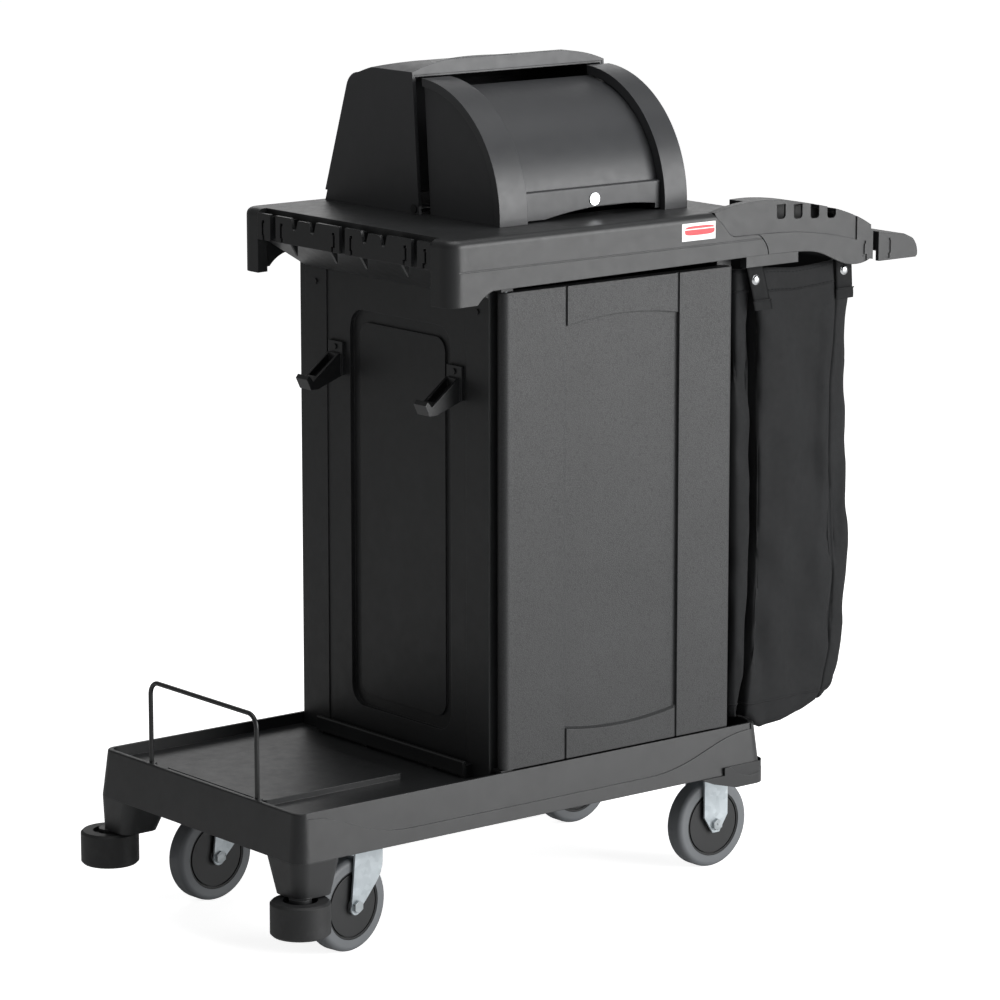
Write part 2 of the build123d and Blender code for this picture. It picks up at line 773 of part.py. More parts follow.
def centre_panel(x0, x1):
    """What is cut from the door's face between its two arches, with a slope at the foot."""
    middle = (x0 + x1) / 2
    high = door_top - arch_low - arch_rise
    low = door_bottom + arch_low
    back = door_face + panel_set_back
    cut = side_plate([ThreePointArc((x0, low), (middle, low - arch_rise), (x1, low)),
                      Line((x1, low), (x1, high)),
                      ThreePointArc((x1, high), (middle, high + arch_rise), (x0, high)),
                      Line((x0, high), (x0, low))],
                     door_face - 1, back)
    foot = Plane(origin=(0, back, 0), x_dir=(1, 0, 0), z_dir=(0, -1, 0))
    sections = []
    for drop, forward in ((0, 0), (panel_slope * (1 + 1 / panel_set_back), panel_set_back + 1)):
        arc = ThreePointArc((x0, low - drop), (middle, low - arch_rise - drop), (x1, low - drop))
        edges = [arc, Line((x1, low - drop), (x1, low + 20)), Line((x1, low + 20), (x0, low + 20)),
                 Line((x0, low + 20), (x0, low - drop))]
        sections.append(foot.offset(forward) * make_face(edges))
    return cut + loft(sections)


def door_pan(gap):
    """Both ends, along X, of the hollow in the door's back."""
    x, y = hinge_place()
    return x + 16 + gap, door_end - 14 - gap


def door_pan_height(gap):
    """Lower and upper end of the hollow in the door's back."""
    return door_bottom + 14 + gap, door_top - 14 - gap


def build_door_liner():
    """Flat liner that closes the hollow back of the door, with two stiffening ribs."""
    liner = block(*door_pan(fit_gap), door_back - liner_thickness, door_back, *door_pan_height(fit_gap))
    low, high = door_pan_height(fit_gap)
    for x in (door_start + stile_left, door_end - stile_right):
        liner = liner + block(x - 2, x + 2, door_face + door_skin, door_back - liner_thickness + 1,
                              low + 40, high - 40)
    return liner


def build_door_catch():
    """Spring catch on the front post at the bag end, that the door closes against."""
    x1 = cabinet_end - 4
    z = (door_bottom + door_top) / 2
    return block(x1 - 24, x1 - 4, door_back + 0.3, post_front, z - 22, z + 22)


def build_sill():
    """Bar across the tray that keeps a bucket off the cabinet, with two feet."""
    x1 = cabinet_start
    x0 = x1 - sill_thickness
    half = sill_length / 2
    bar = block(x0, x0 + 6, -half, half, tray_floor + 4, tray_floor + sill_height)
    bar = fillet(bar.edges().filter_by(Axis.Y).group_by(Axis.Z)[-1], 2)
    for y in (-half + 5, -half * 0.55, half * 0.35, half - 5):
        bar = bar + block(x0 + 3, x1, y - 5, y + 5, tray_floor, tray_floor + sill_height - 6)
    return bar


def build_hook(centre):
    """Broom hook: a plate on the panel and a channelled arm that slopes down to a turned up tip."""
    x0 = cabinet_start + end_panel_inset
    y0 = centre - hook_width / 2
    tip = x0 - hook_reach
    low = hook_top - hook_drop
    plate = block(x0 - 5, x0, y0, y0 + hook_width, hook_top - hook_root, hook_top)
    arm = closed([(x0, hook_top - 18), (x0 - 8, hook_top - 16), (tip, low + 12), (tip - 7, low + 20),
                  (tip - 11, low + 15), (tip - 4, low), (tip + 8, low), (x0, hook_top - hook_root)])
    channel = closed([(x0 - 9, hook_top - 6), (tip + 6, low + 28), (tip + 8, low + 9),
                      (x0 - 9, hook_top - 29)])
    body = side_plate(arm, y0 + 3, y0 + hook_width - 3) - side_plate(channel, y0 + 7, y0 + hook_width - 7)
    return plate + body


def build_panel_screws():
    """Pan head screws: one in each hook, and one in each post under the top's corners."""
    screws = []
    x0 = cabinet_start + end_panel_inset
    for centre in (-hook_centre, hook_centre):
        screws.append(along(x0 - 7, x0 - 5, centre, hook_top - 8, screw_head))
    for y in (post_front + post_width / 2, back_inner - post_width / 2):
        screws.append(along(cabinet_start - 2, cabinet_start, y, corner_skirt_bottom - 18, screw_head))
    return screws


# ================================================================ top
def near_outline():
    """Side view of the top's long skirts: corner drop, lower edge and the tongue at the bag end."""
    z1 = top_height
    low = top_skirt_bottom
    drop = corner_skirt_bottom
    x0 = top_start
    curve = ThreePointArc((x0 + corner_skirt_length, drop + 1), (x0 + corner_skirt_length + 11, low - 7),
                          (x0 + corner_skirt_length + 26, low))
    seam = top_seam(0)
    return [Line((x0, z1), (x0, drop)), Line((x0, drop), (x0 + corner_skirt_length, drop + 1)), curve,
            Line((x0 + corner_skirt_length + 26, low), (tongue_end, low + 5))] + seam + [
                Line(seam_start(0), (x0, z1))]


def seam_start(offset):
    """Upper end of the seam between the top and the bag frame."""
    return (seam_top + offset, top_height)


def top_seam(offset):
    """The S shaped seam, drawn upwards; offset moves it towards the bag."""
    x, z = tongue_end + offset, part_line
    first = Spline((x, top_skirt_bottom + 5), (x - 8, z - 3), (x - 24, z + 6), tangents=[(0, 1), (-1, 0)])
    run = Line((x - 24, z + 6), (x - 56, z + 6))
    second = Spline((x - 56, z + 6), (x - 82, z + 24), seam_start(offset), tangents=[(-1, 0), (-0.3, 1)])
    return [first, run, second]


def top_shell():
    """The top's outside form, hollowed from below and closed at the bag end."""
    half = deck_half
    middle_half = half - root_width - seam_gap
    under = corner_skirt_bottom - 2
    full = rounded_block(top_start, tongue_end + 60, -half, half, corner_skirt_bottom - 1, top_height,
                         top_corner)
    full = fillet(full.edges().group_by(Axis.Z)[-1], top_edge_round)
    shell = full & side_plate(near_outline(), -half - 1, half + 1)
    shell = shell + (full & block(top_start - 1, top_end, -middle_half, middle_half, top_skirt_bottom,
                                  top_height + 1))
    shell = shell - block(top_start - 1, top_end + 1, -half + corner_skirt_width, half - corner_skirt_width,
                          under, top_skirt_bottom)
    shell = shell - rounded_block(top_start + rack_recess, top_end - top_wall, -half + top_wall,
                                  half - top_wall,
                                  under, top_height - top_wall, top_corner - top_wall)
    shell = shell - block(top_end - 40, top_end - top_wall, -half + top_wall, half - top_wall, under,
                          top_height - top_wall)
    shell = shell - block(top_end, tongue_end + 1, -half + top_wall, half - top_wall, under, top_height + 1)
    return shell - block(top_end - top_wall - 1, top_end + 1, -half + top_wall, half - top_wall, under,
                         end_lap_bottom)


def inner_skirt():
    """Sloping wall under the platform end that closes down on the cabinet, and the wall behind the rack."""
    back = top_start + rack_stand_off
    reach = deck_half - 30
    slope = closed([(back - 4, part_line), (cabinet_start - 1, corner_skirt_bottom + 2),
                    (cabinet_start - 1, corner_skirt_bottom + 12), (back, part_line + 6)])
    wall = block(top_start + rack_recess, back, -reach, reach, part_line - 2, top_height - 1)
    return side_plate(slope, -reach, reach) + wall


def well_plan(margin):
    """Both ends along X, then along Y, of the well under the hood, widened by margin."""
    return (hood_start + well_margin - margin, hood_end - well_margin + margin,
            hood_axis_y - skin_radius + well_front_margin - margin, housing_rear_y - well_margin + margin)


def build_top():
    """Top moulding: a skirted tray with a round edge, corner skirts and a well under the hood."""
    top = top_shell() + inner_skirt()
    top = top - block(top_start - 1, top_start + rack_recess, -rack_half, rack_half,
                      corner_skirt_bottom - 2,
                      top_height + 1)
    groove = block(top_start + 12, tongue_end, -deck_half - 1, -deck_half + 0.8, part_line - 1,
                   part_line + 1)
    top = top - groove - mirrored(groove)
    floor = top_height - well_depth
    top = top + rounded_block(*well_plan(well_wall), floor - well_wall, top_height - 1, 15 + well_wall)
    top = top - rounded_block(*well_plan(0), floor, top_height + 1, 15)
    for x0, x1 in ((cabinet_start, cabinet_start + post_length), (cabinet_end - post_length, cabinet_end)):
        for y0, y1 in ((post_front, post_front + post_width), (back_inner - post_width, back_inner)):
            top = top + block(x0, x1, y0, y1, cabinet_top, top_height - 1)
    return top


def clip_slot(y, z0, side):
    """Hooked slot in a tab, drawn in Y and Z; side says which way its mouth turns."""
    narrow = clip_slot_width / 2
    wide = clip_slot_wide / 2
    cuts = [((y - narrow, y + narrow + 2), (z0 - 1, z0 + 8)),
            ((y + side * 3 - wide, y + side * 3 + wide), (z0 + 6, z0 + 24)),
            ((min(y, y + side * 3) - narrow, max(y, y + side * 3) + narrow), (z0 + 23, z0 + 27))]
    return cuts


def build_label():
    """Small blank label on the front of the top, near the seam."""
    x1 = seam_top + 1
    return block(x1 - label_length, x1, -deck_half - label_thickness, -deck_half, part_line + 8,
                 part_line + 8 + label_height)


def build_holder(y0):
    """Tool holder on the top's platform end: two hooked tabs and a notched middle."""
    x0 = top_start
    x1 = x0 + rack_plate
    y1 = y0 + holder_length
    z1 = rack_top
    z0 = z1 - rack_height
    notch = (y0 + y1) / 2
    deep = z1 - rack_notch_depth + rack_notch_round
    wide = rack_notch_round + rack_notch_flare
    first, second = notch + rack_notch_first, notch - rack_notch_second
    outline = closed([(y0, z0), (y1, z0), (y1, z1), (first + wide, z1), (first + rack_notch_round, deep),
                      (first - rack_notch_round, deep), (first - wide, z1 - 2), (second + wide, z1 - 2),
                      (second + rack_notch_round, deep), (second - rack_notch_round, deep),
                      (second - wide, z1), (y0, z1)])
    holder = end_plate(outline, x0, x1)
    for y in (first, second):
        holder = holder - along(x0 - 1, x1 + 1, y, deep, rack_notch_round)
    for y, side in ((y0 + tab_length * 0.55, -1), (y1 - tab_length * 0.55, 1)):
        for (a, b), (c, d) in clip_slot(y, z0, side):
            holder = holder - block(x0 - 1, x1 + 1, a, b, c, d)
    for y in (y0 + tab_length, y1 - tab_length):
        web = closed([(x1 - 1, z1 - 3), (top_start + rack_stand_off - 4, z1 - 3),
                      (top_start + rack_stand_off - 4, z0 - 18), (x1 - 1, z0 + 2)])
        holder = holder + side_plate(web, y - 2, y + 2)
    shelf = block(x1 - 1, top_start + rack_stand_off - 4, y0 + tab_length, y1 - tab_length, z0 + 2, z0 + 5)
    return holder + shelf


def build_half_clip(y0, y1, mouth):
    """Half clip on the inner side of a corner skirt."""
    x0 = top_start
    z0 = rack_top - rack_height
    clip = block(x0, x0 + rack_plate, y0, y1, z0, rack_top)
    for (a, b), (c, d) in clip_slot((y0 + y1) / 2, z0, mouth):
        clip = clip - block(x0 - 1, x0 + rack_plate + 1, a, b, c, d)
    return clip + block(x0 + 1, x0 + 15.8, (y0 + y1) / 2 - 12, (y0 + y1) / 2 - 8, z0 + 2, rack_top - 3)


# ================================================================ hood
def housing_outline(inset):
    """Side view of the rear housing in Y and Z, moved inwards by inset."""
    z0 = top_height
    front_low = hood_axis_y - 9
    front_high = hood_axis_y + 5
    top_front = z0 + housing_front_height - inset
    top_rear = z0 + housing_rear_height - inset
    rear_low = housing_rear_y - inset
    rear_high = housing_rear_y - housing_rear_lean - inset
    knee = rear_high - 26
    bow = ThreePointArc((front_high, top_front), ((front_high + knee) / 2, (top_front + top_rear) / 2 + 9),
                        (knee, top_rear + 9))
    corner = ThreePointArc((knee, top_rear + 9), (rear_high - 9, top_rear + 3), (rear_high, top_rear - 9))
    return [Line((front_low, z0), (front_high, top_front)), bow, corner,
            Line((rear_high, top_rear - 9), (rear_low, z0)), Line((rear_low, z0), (front_low, z0))]


def crown_outline(inset):
    """Front view of the housing in X and Z: upright sides and a softly crowned top."""
    x0, x1 = hood_start + inset, hood_end - inset
    z0 = top_height - 1
    z1 = top_height + housing_front_height - inset
    high = z1 + housing_crown
    return [Line((x0, z0), (x0, z1)),
            Spline((x0, z1), (x0 + 42, z1 + housing_crown * 0.8), ((x0 + x1) / 2 + 20, high),
                                              (x1 - 30, z1 + housing_crown * 0.55), (x1, z1 - 2)),
            Line((x1, z1 - 2), (x1, z0)), Line((x1, z0), (x0, z0))]


def housing_lip_frame():
    """Thin lip round the housing's open front, following its lean."""
    front_low = hood_axis_y - 9
    front_high = hood_axis_y + 5
    top = top_height + housing_front_height
    sheet = end_plate(closed([(front_low, top_height), (front_high, top), (front_high + 1, top + 20),
                              (front_high + 1 + hood_wall, top + 20), (front_high + hood_wall, top),
                              (front_low + hood_wall, top_height)]), hood_start, hood_end)
    opening = block(hood_start + housing_jamb, hood_end - housing_jamb, -deck_half, deck_half,
                    top_height - 1,
                    top + housing_crown - housing_lip)
    return (sheet & side_plate(crown_outline(0), -deck_half, deck_half)) - opening


def build_housing():
    """Rear half of the hood, a crowned shell open towards the door."""
    outer = end_plate(housing_outline(0), hood_start, hood_end)
    lift = Pos(0, 0, housing_crown) * end_plate(housing_outline(0), hood_start, hood_end)
    crown = side_plate(crown_outline(0), -deck_half, deck_half)
    shell = (outer + lift) & crown
    shell = shell & block(hood_start - 1, hood_end + 1, -deck_half, deck_half, top_height, top_height + 400)
    hollow = end_plate(housing_outline(hood_wall), hood_start + hood_wall, hood_end - hood_wall)
    hollow = hollow + Pos(0, -20, 0) * hollow + Pos(0, -10, -2) * hollow
    shell = (shell - hollow) + housing_lip_frame()
    for x0, x1 in ((hood_start - 1, hood_start + 6), (hood_end - 6, hood_end + 1)):
        shell = shell - along(x0, x1, hood_axis_y, hood_axis_z, pivot_radius)
    return shell


def build_cheek(x0, x1, outer_left):
    """Fixed cheek beside the door: a raised band over a flat side."""
    axis = (hood_axis_y, hood_axis_z)
    low = hood_axis_y - 9 - hood_slot
    high = hood_axis_y + 5 - hood_slot
    front_edge = hood_axis_y - band_radius
    keep = end_plate(closed([(front_edge - 1, top_height), (low, top_height),
                             (high, top_height + housing_front_height),
                             (front_edge - 1, top_height + 300)]),
                     x0 - 1, x1 + 1)
    form = along(x0, x1, *axis, band_radius) + block(x0, x1, front_edge, hood_axis_y, top_height,
                                                     hood_axis_z)
    inner_edge = front_edge + hood_wall
    out0, out1 = (cheek_recess, 0) if outer_left else (0, cheek_recess)
    in0 = x0 + hood_wall + out0
    in1 = x1 - hood_wall - out1
    inside = along(in0, in1, *axis, band_radius - hood_wall)
    inside = inside + block(in0, in1, inner_edge, hood_axis_y, top_height - 1, hood_axis_z)
    side0, side1 = (x0 - 1, x0 + cheek_recess) if outer_left else (x1 - cheek_recess, x1 + 1)
    set_back = along(side0, side1, *axis, band_radius - cheek_band)
    set_back = set_back + block(side0, side1, front_edge + cheek_band, hood_axis_y, top_height + 1,
                                hood_axis_z)
    # the inner wall is only a flange, so that the door's side arm passes
    wall0, wall1 = (x1 - hood_wall - 0.5, x1 + 1) if outer_left else (x0 - 1, x0 + hood_wall + 0.5)
    pass_radius = skin_radius + 2
    opening = along(wall0, wall1, *axis, pass_radius)
    opening = opening + block(wall0, wall1, hood_axis_y - pass_radius, hood_axis_y, top_height - 1,
                              hood_axis_z)
    return (form & keep) - inside - opening - set_back


def skin_arc(radius, start, end):
    """Arc of the door in Y and Z between two angles from the front, upwards."""
    points = []
    for angle in (start, (start + end) / 2, end):
        points.append((hood_axis_y - radius * cos(radians(angle)),
                       hood_axis_z + radius * sin(radians(angle))))
    return ThreePointArc(*points)


def build_hood_door():
    """Roll back door: curved skin, two side arms and a lower rail with a finger scoop."""
    x0 = hood_start + left_band - 12
    x1 = hood_end - right_band + 12
    low_angle = 1.5
    high_angle = 88.0
    outer = skin_arc(skin_radius, low_angle, high_angle)
    inner = skin_arc(skin_radius - hood_wall, low_angle, high_angle)
    skin = end_plate([outer, inner, Line(outer @ 0, inner @ 0), Line(outer @ 1, inner @ 1)], x0, x1)
    face = hood_axis_y - skin_radius
    rail_low = top_height + 2.5
    rail_x0 = hood_start + left_band + 1
    rail_x1 = hood_end - right_band - 1
    rail = block(rail_x0, rail_x1, face - rail_proud, face + 5, rail_low, rail_low + rail_height + 4)
    rail = fillet(rail.edges().filter_by(Axis.X).group_by(Axis.Z)[-1], 2)
    scoop = side_plate([ThreePointArc((rail_x0 + 32, rail_low - 1),
                                      ((rail_x0 + rail_x1) / 2 + 14, rail_low + 11),
                                      (rail_x1 - 8, rail_low + 7)), Line((rail_x1 - 8, rail_low + 7),
                                      (rail_x1 - 8, rail_low - 1)),
                        Line((rail_x1 - 8, rail_low - 1), (rail_x0 + 32, rail_low - 1))],
                       face - rail_proud - 1, face + 6)
    rail = rail - scoop
    door = skin + rail
    arm_hub = (hood_axis_y, hood_axis_z)
    for a0, a1 in ((x0, x0 + 4), (x1 - 4, x1)):
        wedge = end_plate([skin_arc(skin_radius - 1, low_angle + 3, high_angle),
                           Line(skin_arc(skin_radius - 1, low_angle + 3, high_angle) @ 1,
                                (arm_hub[0], arm_hub[1] + 12)),
                           Line((arm_hub[0], arm_hub[1] + 12), (arm_hub[0] - 12, arm_hub[1])),
                           Line((arm_hub[0] - 12, arm_hub[1]),
                                skin_arc(skin_radius - 1, low_angle + 3, high_angle) @ 0)],
                          a0, a1)
        window = end_plate([skin_arc(skin_radius - 30, 22, 68), skin_arc(60, 22, 68),
                            Line(skin_arc(skin_radius - 30, 22, 68) @ 0, skin_arc(60, 22, 68) @ 0),
                            Line(skin_arc(skin_radius - 30, 22, 68) @ 1, skin_arc(60, 22, 68) @ 1)], a0 - 1,
                            a1 + 1)
        door = door + (wedge - window) + along(a0, a1, *arm_hub, 13)
    door = door - along(x0 - 1, x1 + 1, *arm_hub, pivot_radius + running_clearance)
    lx, lz = lock_place()
    return door - across(lx, face - rail_proud - 1, face + 12, lz, lock_radius)


def lock_place():
    """Middle of the lock on the rail."""
    x = (hood_start + left_band + hood_end - right_band) / 2 + 3
    return x, top_height + 2.5 + lock_height + 5


def build_lock():
    """Lock body in the rail, and the barrel that turns inside it."""
    x, z = lock_place()
    face = hood_axis_y - skin_radius - rail_proud
    body = across(x, face - 1.5, face + 16, z, lock_radius)
    body = body + across(x, face - 1.5, face, z, lock_radius + 2)
    barrel_radius = lock_radius - 1.8
    body = body - across(x, face - 3, face + 20, z, barrel_radius + running_clearance)
    barrel = across(x, face - 2.2, face + 18, z, barrel_radius)
    barrel = barrel - block(x - 0.6, x + 0.6, face - 3, face + 4, z - 3.2, z + 3.2)
    cam = block(x - 3.5, x + 3.5, face + 16.2, face + 18, z - 14, z + 4)
    return body, barrel + cam


def build_hood_pins():
    """Rivet pins on the hood's axis, one each side, with round outside heads."""
    left_inner = hood_start + left_band - 12 + 4
    right_inner = hood_end - right_band + 12 - 4
    left = along(hood_start, left_inner + 2, hood_axis_y, hood_axis_z, pivot_radius)
    left = left + along(hood_start - 2, hood_start, hood_axis_y, hood_axis_z, pivot_radius + 2)
    right = along(right_inner - 2, hood_end, hood_axis_y, hood_axis_z, pivot_radius)
    right = right + along(hood_end, hood_end + 2, hood_axis_y, hood_axis_z, pivot_radius + 2)
    return left, right


# ================================================================ bag frame and handle
def arm_outline():
    """Side view of an arm: from the seam, over the crown, down to the end beam."""
    seam = top_seam(seam_gap)
    first = seam[0] @ 0
    crown = Spline(seam[2] @ 1, (handle_end - 290, handle_height), (handle_end - 190, handle_height - 14),
                   (handle_end - 126, handle_height - 32), (clip_gap_start - 4, handle_height - 50))
    nose = clip_gap_start - 4
    under = Spline((nose, beam_bottom + 6), (nose - 22, beam_bottom), (nose - 50, beam_bottom + 3),
                   (nose - 98, beam_bottom + 22), (nose - 136, beam_bottom + 27), first)
    return seam + [crown, Line((nose, handle_height - 50), (nose, beam_bottom + 6)), under]


def notch_cut(x, lip, y0, y1):
    """One notch with round bottom corners."""
    side = notch_width / 2
    floor = lip - notch_depth
    cut = block(x - side, x + side, y0, y1, floor + notch_corner, lip)
    cut = cut + block(x - side + notch_corner, x + side - notch_corner, y0, y1, floor, lip)
    for turn in (-1, 1):
        cut = cut + across(x + turn * (side - notch_corner), y0, y1, floor + notch_corner, notch_corner)
    return cut


def upper_face_outline():
    """Area of an arm's side above its lower band, which stands proud of it."""
    start = (seam_top - 10, part_line + 8)
    end = (clip_gap_start - 31, 886)
    edge = Spline(start, (799, 909), (866, 906), (932, 896), end)
    return [edge, Line(end, (clip_gap_start - 31, handle_height + 10)),
            Line((clip_gap_start - 31, handle_height + 10), (seam_top - 10, handle_height + 10)),
            Line((seam_top - 10, handle_height + 10), start)]


def build_handle():
    """Two channel arms with notches, the push handle across their ends and a cross bar by the top."""
    half = deck_half
    profile = side_plate(arm_outline(), -half, -half + arm_width)
    low = block(top_end - 60, handle_end, -half + arm_wall, half, beam_bottom - 10, 884)
    cap_hollow = Pos(0, 0, -top_wall) * side_plate(arm_outline(), -half + arm_wall,
                                                   -half + arm_width - top_wall)
    arm = profile - low - cap_hollow
    root = block(top_end - 70, top_end + 1.0, -half + root_width, half, beam_bottom - 10,
                 handle_height + 10)
    arm = arm - root
    for i in range(notch_count):
        x = notch_first + i * notch_pitch
        lip = handle_height - 8 - 2.2 * i
        arm = arm - notch_cut(x, lip, -half - 1, -half + notch_reach)
    arm = arm - side_plate(upper_face_outline(), -half - 1, -half + band_proud)
    tongue = block(cabinet_end + 4, cabinet_end + 100, -half + arm_wall - 1, -half + 16, 864, 885)
    arm = arm + tongue
    beam_points = [(clip_gap_start - 6, handle_height - 56), (clip_gap_start + 20, handle_height - 64),
                   (handle_end - 26, handle_height - 68), (handle_end - 10, handle_height - 75)]
    nose_arc = ThreePointArc((handle_end - 10, handle_height - 75), (handle_end - 2, handle_height - 86),
                             (handle_end, beam_bottom + 3))
    beam_edges = [Polyline(*beam_points), nose_arc,
                  Polyline((handle_end, beam_bottom + 3), (handle_end - 3, beam_bottom),
                           (clip_gap_start + 12, beam_bottom),
                           (clip_gap_start - 6, beam_bottom + 6), (clip_gap_start - 6, handle_height - 56))]
    end_part = side_plate(beam_edges, -half, half)
    pocket = rounded_block(clip_gap_start - 20, beam_start, -half + arm_width, half - arm_width,
                           beam_bottom - 1, handle_height, 10)
    end_part = end_part - pocket
    hollow = block(clip_gap_start - 8, handle_end - 6, -half + 6, half - 6, beam_bottom - 1,
                   beam_bottom + 26)
    hollow = hollow - block(clip_gap_start - 8, beam_start + 4, -half + arm_width - 4, half - arm_width + 4,
                            beam_bottom - 2, beam_bottom + 30)
    end_part = end_part - hollow
    frame = arm + mirrored(arm) + end_part
    for side in (-1, 1):
        y0, y1 = sorted((side * (half + 1), side * (half - clip_gap_depth)))
        frame = frame - block(clip_gap_start, clip_gap_start + clip_gap, y0, y1, beam_bottom - 5,
                              handle_height)
    cross = block(top_end + 2, top_end + 10, -half + arm_width, half - arm_width, 890, 930)
    clip_low = beam_bottom + 4
    for x, turn in ((clip_gap_start - 15, -1), (clip_gap_start + clip_gap + 18, 1)):
        for side in (-1, 1):
            y0, y1 = sorted((side * (half + 1), side * (half - 1.6)))
            for (a, b), (c, d) in clip_slot(x, clip_low, turn):
                frame = frame - block(a, b, y0, y1, c, d)
    near_arm = frame & block(0, clip_gap_start, -half - 1, 0, beam_bottom - 20, handle_height + 40)
    far_arm = frame & block(0, clip_gap_start, 0, half + 1, beam_bottom - 20, handle_height + 40)
    push_handle = frame & block(clip_gap_start, handle_end + 1, -half - 1, half + 1, beam_bottom - 20,
                                handle_height + 40)
    return near_arm, far_arm, push_handle, cross


# ================================================================ bag
def bag_outline(inset):
    """Side view of the hanging bag, moved inwards by inset; its top stays open."""
    x0 = bag_start + inset
    x1 = bag_end - inset
    low = bag_bottom + inset
    shelf = deck_top + 3 + inset
    top = bag_top + (1 if inset else 0)
    front = Polyline((x0, top), (x0, shelf), (deck_length + 5 + inset, shelf),
                     (deck_length + 12 + inset, low + 6),
                     (deck_length + 26 + inset, low))
    sag = Spline((deck_length + 26 + inset, low), (bag_end - 88, low + 12),
                 (bag_end - 26 - inset * 0.7, low + 46),
                 (x1, low + 130), tangents=[(1, 0), (0, 1)])
    back = Spline((x1, low + 130), (x1 - 8, (bag_bottom + bag_top) / 2 + 50), (x1, top),
                  tangents=[(0, 1), (0, 1)])
    return [front, sag, back, Line((x1, top), (x0, top))]


def build_bag():
    """The bag as a plain thin walled sack, open at the top."""
    half = bag_width / 2
    outer = side_plate(bag_outline(0), -half, half)
    inner = side_plate(bag_outline(bag_wall), -half + bag_wall, half - bag_wall)
    return outer - inner


def strap_places():
    """Each strap: its top middle, its lean and its side."""
    places = []
    for side in (-1, 1):
        places.append((first_strap, 14.0, side))
        places.append((bag_end - 12, 0.0, side))
    return places


def build_straps():
    """Webbing straps that hang the bag from the arms, and the snaps that close them."""
    straps = []
    snaps = []
    for x, lean, side in strap_places():
        skin = side * (bag_width / 2 + 0.4)
        outer = skin + side * strap_thickness
        y0, y1 = sorted((skin, outer))
        top = 883.0
        strap = block(x - strap_width / 2, x + strap_width / 2, y0, y1, top - strap_length - 18, top)
        strap = Pos(x, 0, top) * Rot(0, -lean * 0.9, 0) * Pos(-x, 0, -top) * strap
        straps.append(strap & block(x - 80, x + 80, y0 - 1, y1 + 1, 780, 880))
        snap = across(x + lean * 0.6, outer, outer + side * 2.5, 842.0, snap_radius)
        snaps.append(snap)
    return straps, snaps


# ================================================================ write every node
def save_base():
    """Deck, guard, legs, rollers and corner blocks."""
    save("deck", build_deck())
    save("wire_guard", build_guard())
    for name, flip in (("near", False), ("far", True)):
        for part, shape in (("leg", build_leg()), ("bumper_roller", build_roller()),
                            ("corner_block", build_corner_block())):
            save(f"{name}_{part}", mirrored(shape) if flip else shape)
    bolt = build_roller_bolt()
    save("roller_bolts", bolt, mirrored(bolt))
    save("caster_bolts", *build_caster_bolts())


def save_cabinet():
    """Posts, panels, shelves, door and hooks."""
    front_left, rear_left = build_posts(cabinet_start, cabinet_start + post_length)
    front_right, rear_right = build_posts(cabinet_end - post_length, cabinet_end)
    for lug in build_hinge_lugs():
        front_left = front_left + lug
    save("platform_end_posts", front_left, rear_left)
    save("bag_end_posts", front_right, rear_right)
    save("platform_end_panel", build_end_panel())
    save("bag_end_panel", build_bag_side_panel())
    save("back_panel", build_back_panel())
    save("cabinet_floor", build_floor())
    save("shelves", build_shelf(lower_shelf_height, shelf_thickness),
         build_shelf(upper_shelf_height, shelf_thickness))
    save("cabinet_door", build_door())
    save("door_liner", build_door_liner())
    save("door_hinge_pins", *build_hinge_pins())
    save("door_catch", build_door_catch())
    save("sill_bar", build_sill())
    save("broom_hooks", build_hook(-hook_centre), build_hook(hook_centre))
    save("panel_screws", *build_panel_screws())


def save_top():
    """Top moulding, tool rack, hood, bag frame and bag."""
    top = build_top()
    half = deck_half
    middle_gap = holder_gap / 2
    far_clip = build_half_clip(rack_half - half_clip, rack_half, 1)
    near_clip = build_half_clip(-rack_half, half_clip - rack_half, -1)
    save("top", top)
    save("blank_label", build_label())
    save("near_tool_holder", build_holder(-middle_gap - holder_length))
    save("far_tool_holder", build_holder(middle_gap))
    save("corner_clips", near_clip, far_clip)
    save("hood_housing", build_housing())
    save("hood_left_cheek", build_cheek(hood_start + cheek_inset, hood_start + left_band, True))
    save("hood_right_cheek", build_cheek(hood_end - right_band, hood_end - cheek_inset + 4, False))
    save("hood_door", build_hood_door())
    lock_body, lock_barrel = build_lock()
    save("lock_body", lock_body)
    save("lock_barrel", lock_barrel)
    save("hood_pivot_pins", *build_hood_pins())
    near_arm, far_arm, push_handle, cross = build_handle()
    save("near_bag_arm", near_arm)
    save("far_bag_arm", far_arm)
    save("push_handle", push_handle)
    save("bag_frame_cross", cross)
    save("bag", build_bag())
    straps, snaps = build_straps()
    save("bag_straps", *straps)
    save("bag_snaps", *snaps)


save_base()
save_casters()
save_cabinet()
save_top()
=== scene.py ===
import json
import math

import bpy
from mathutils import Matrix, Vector, noise


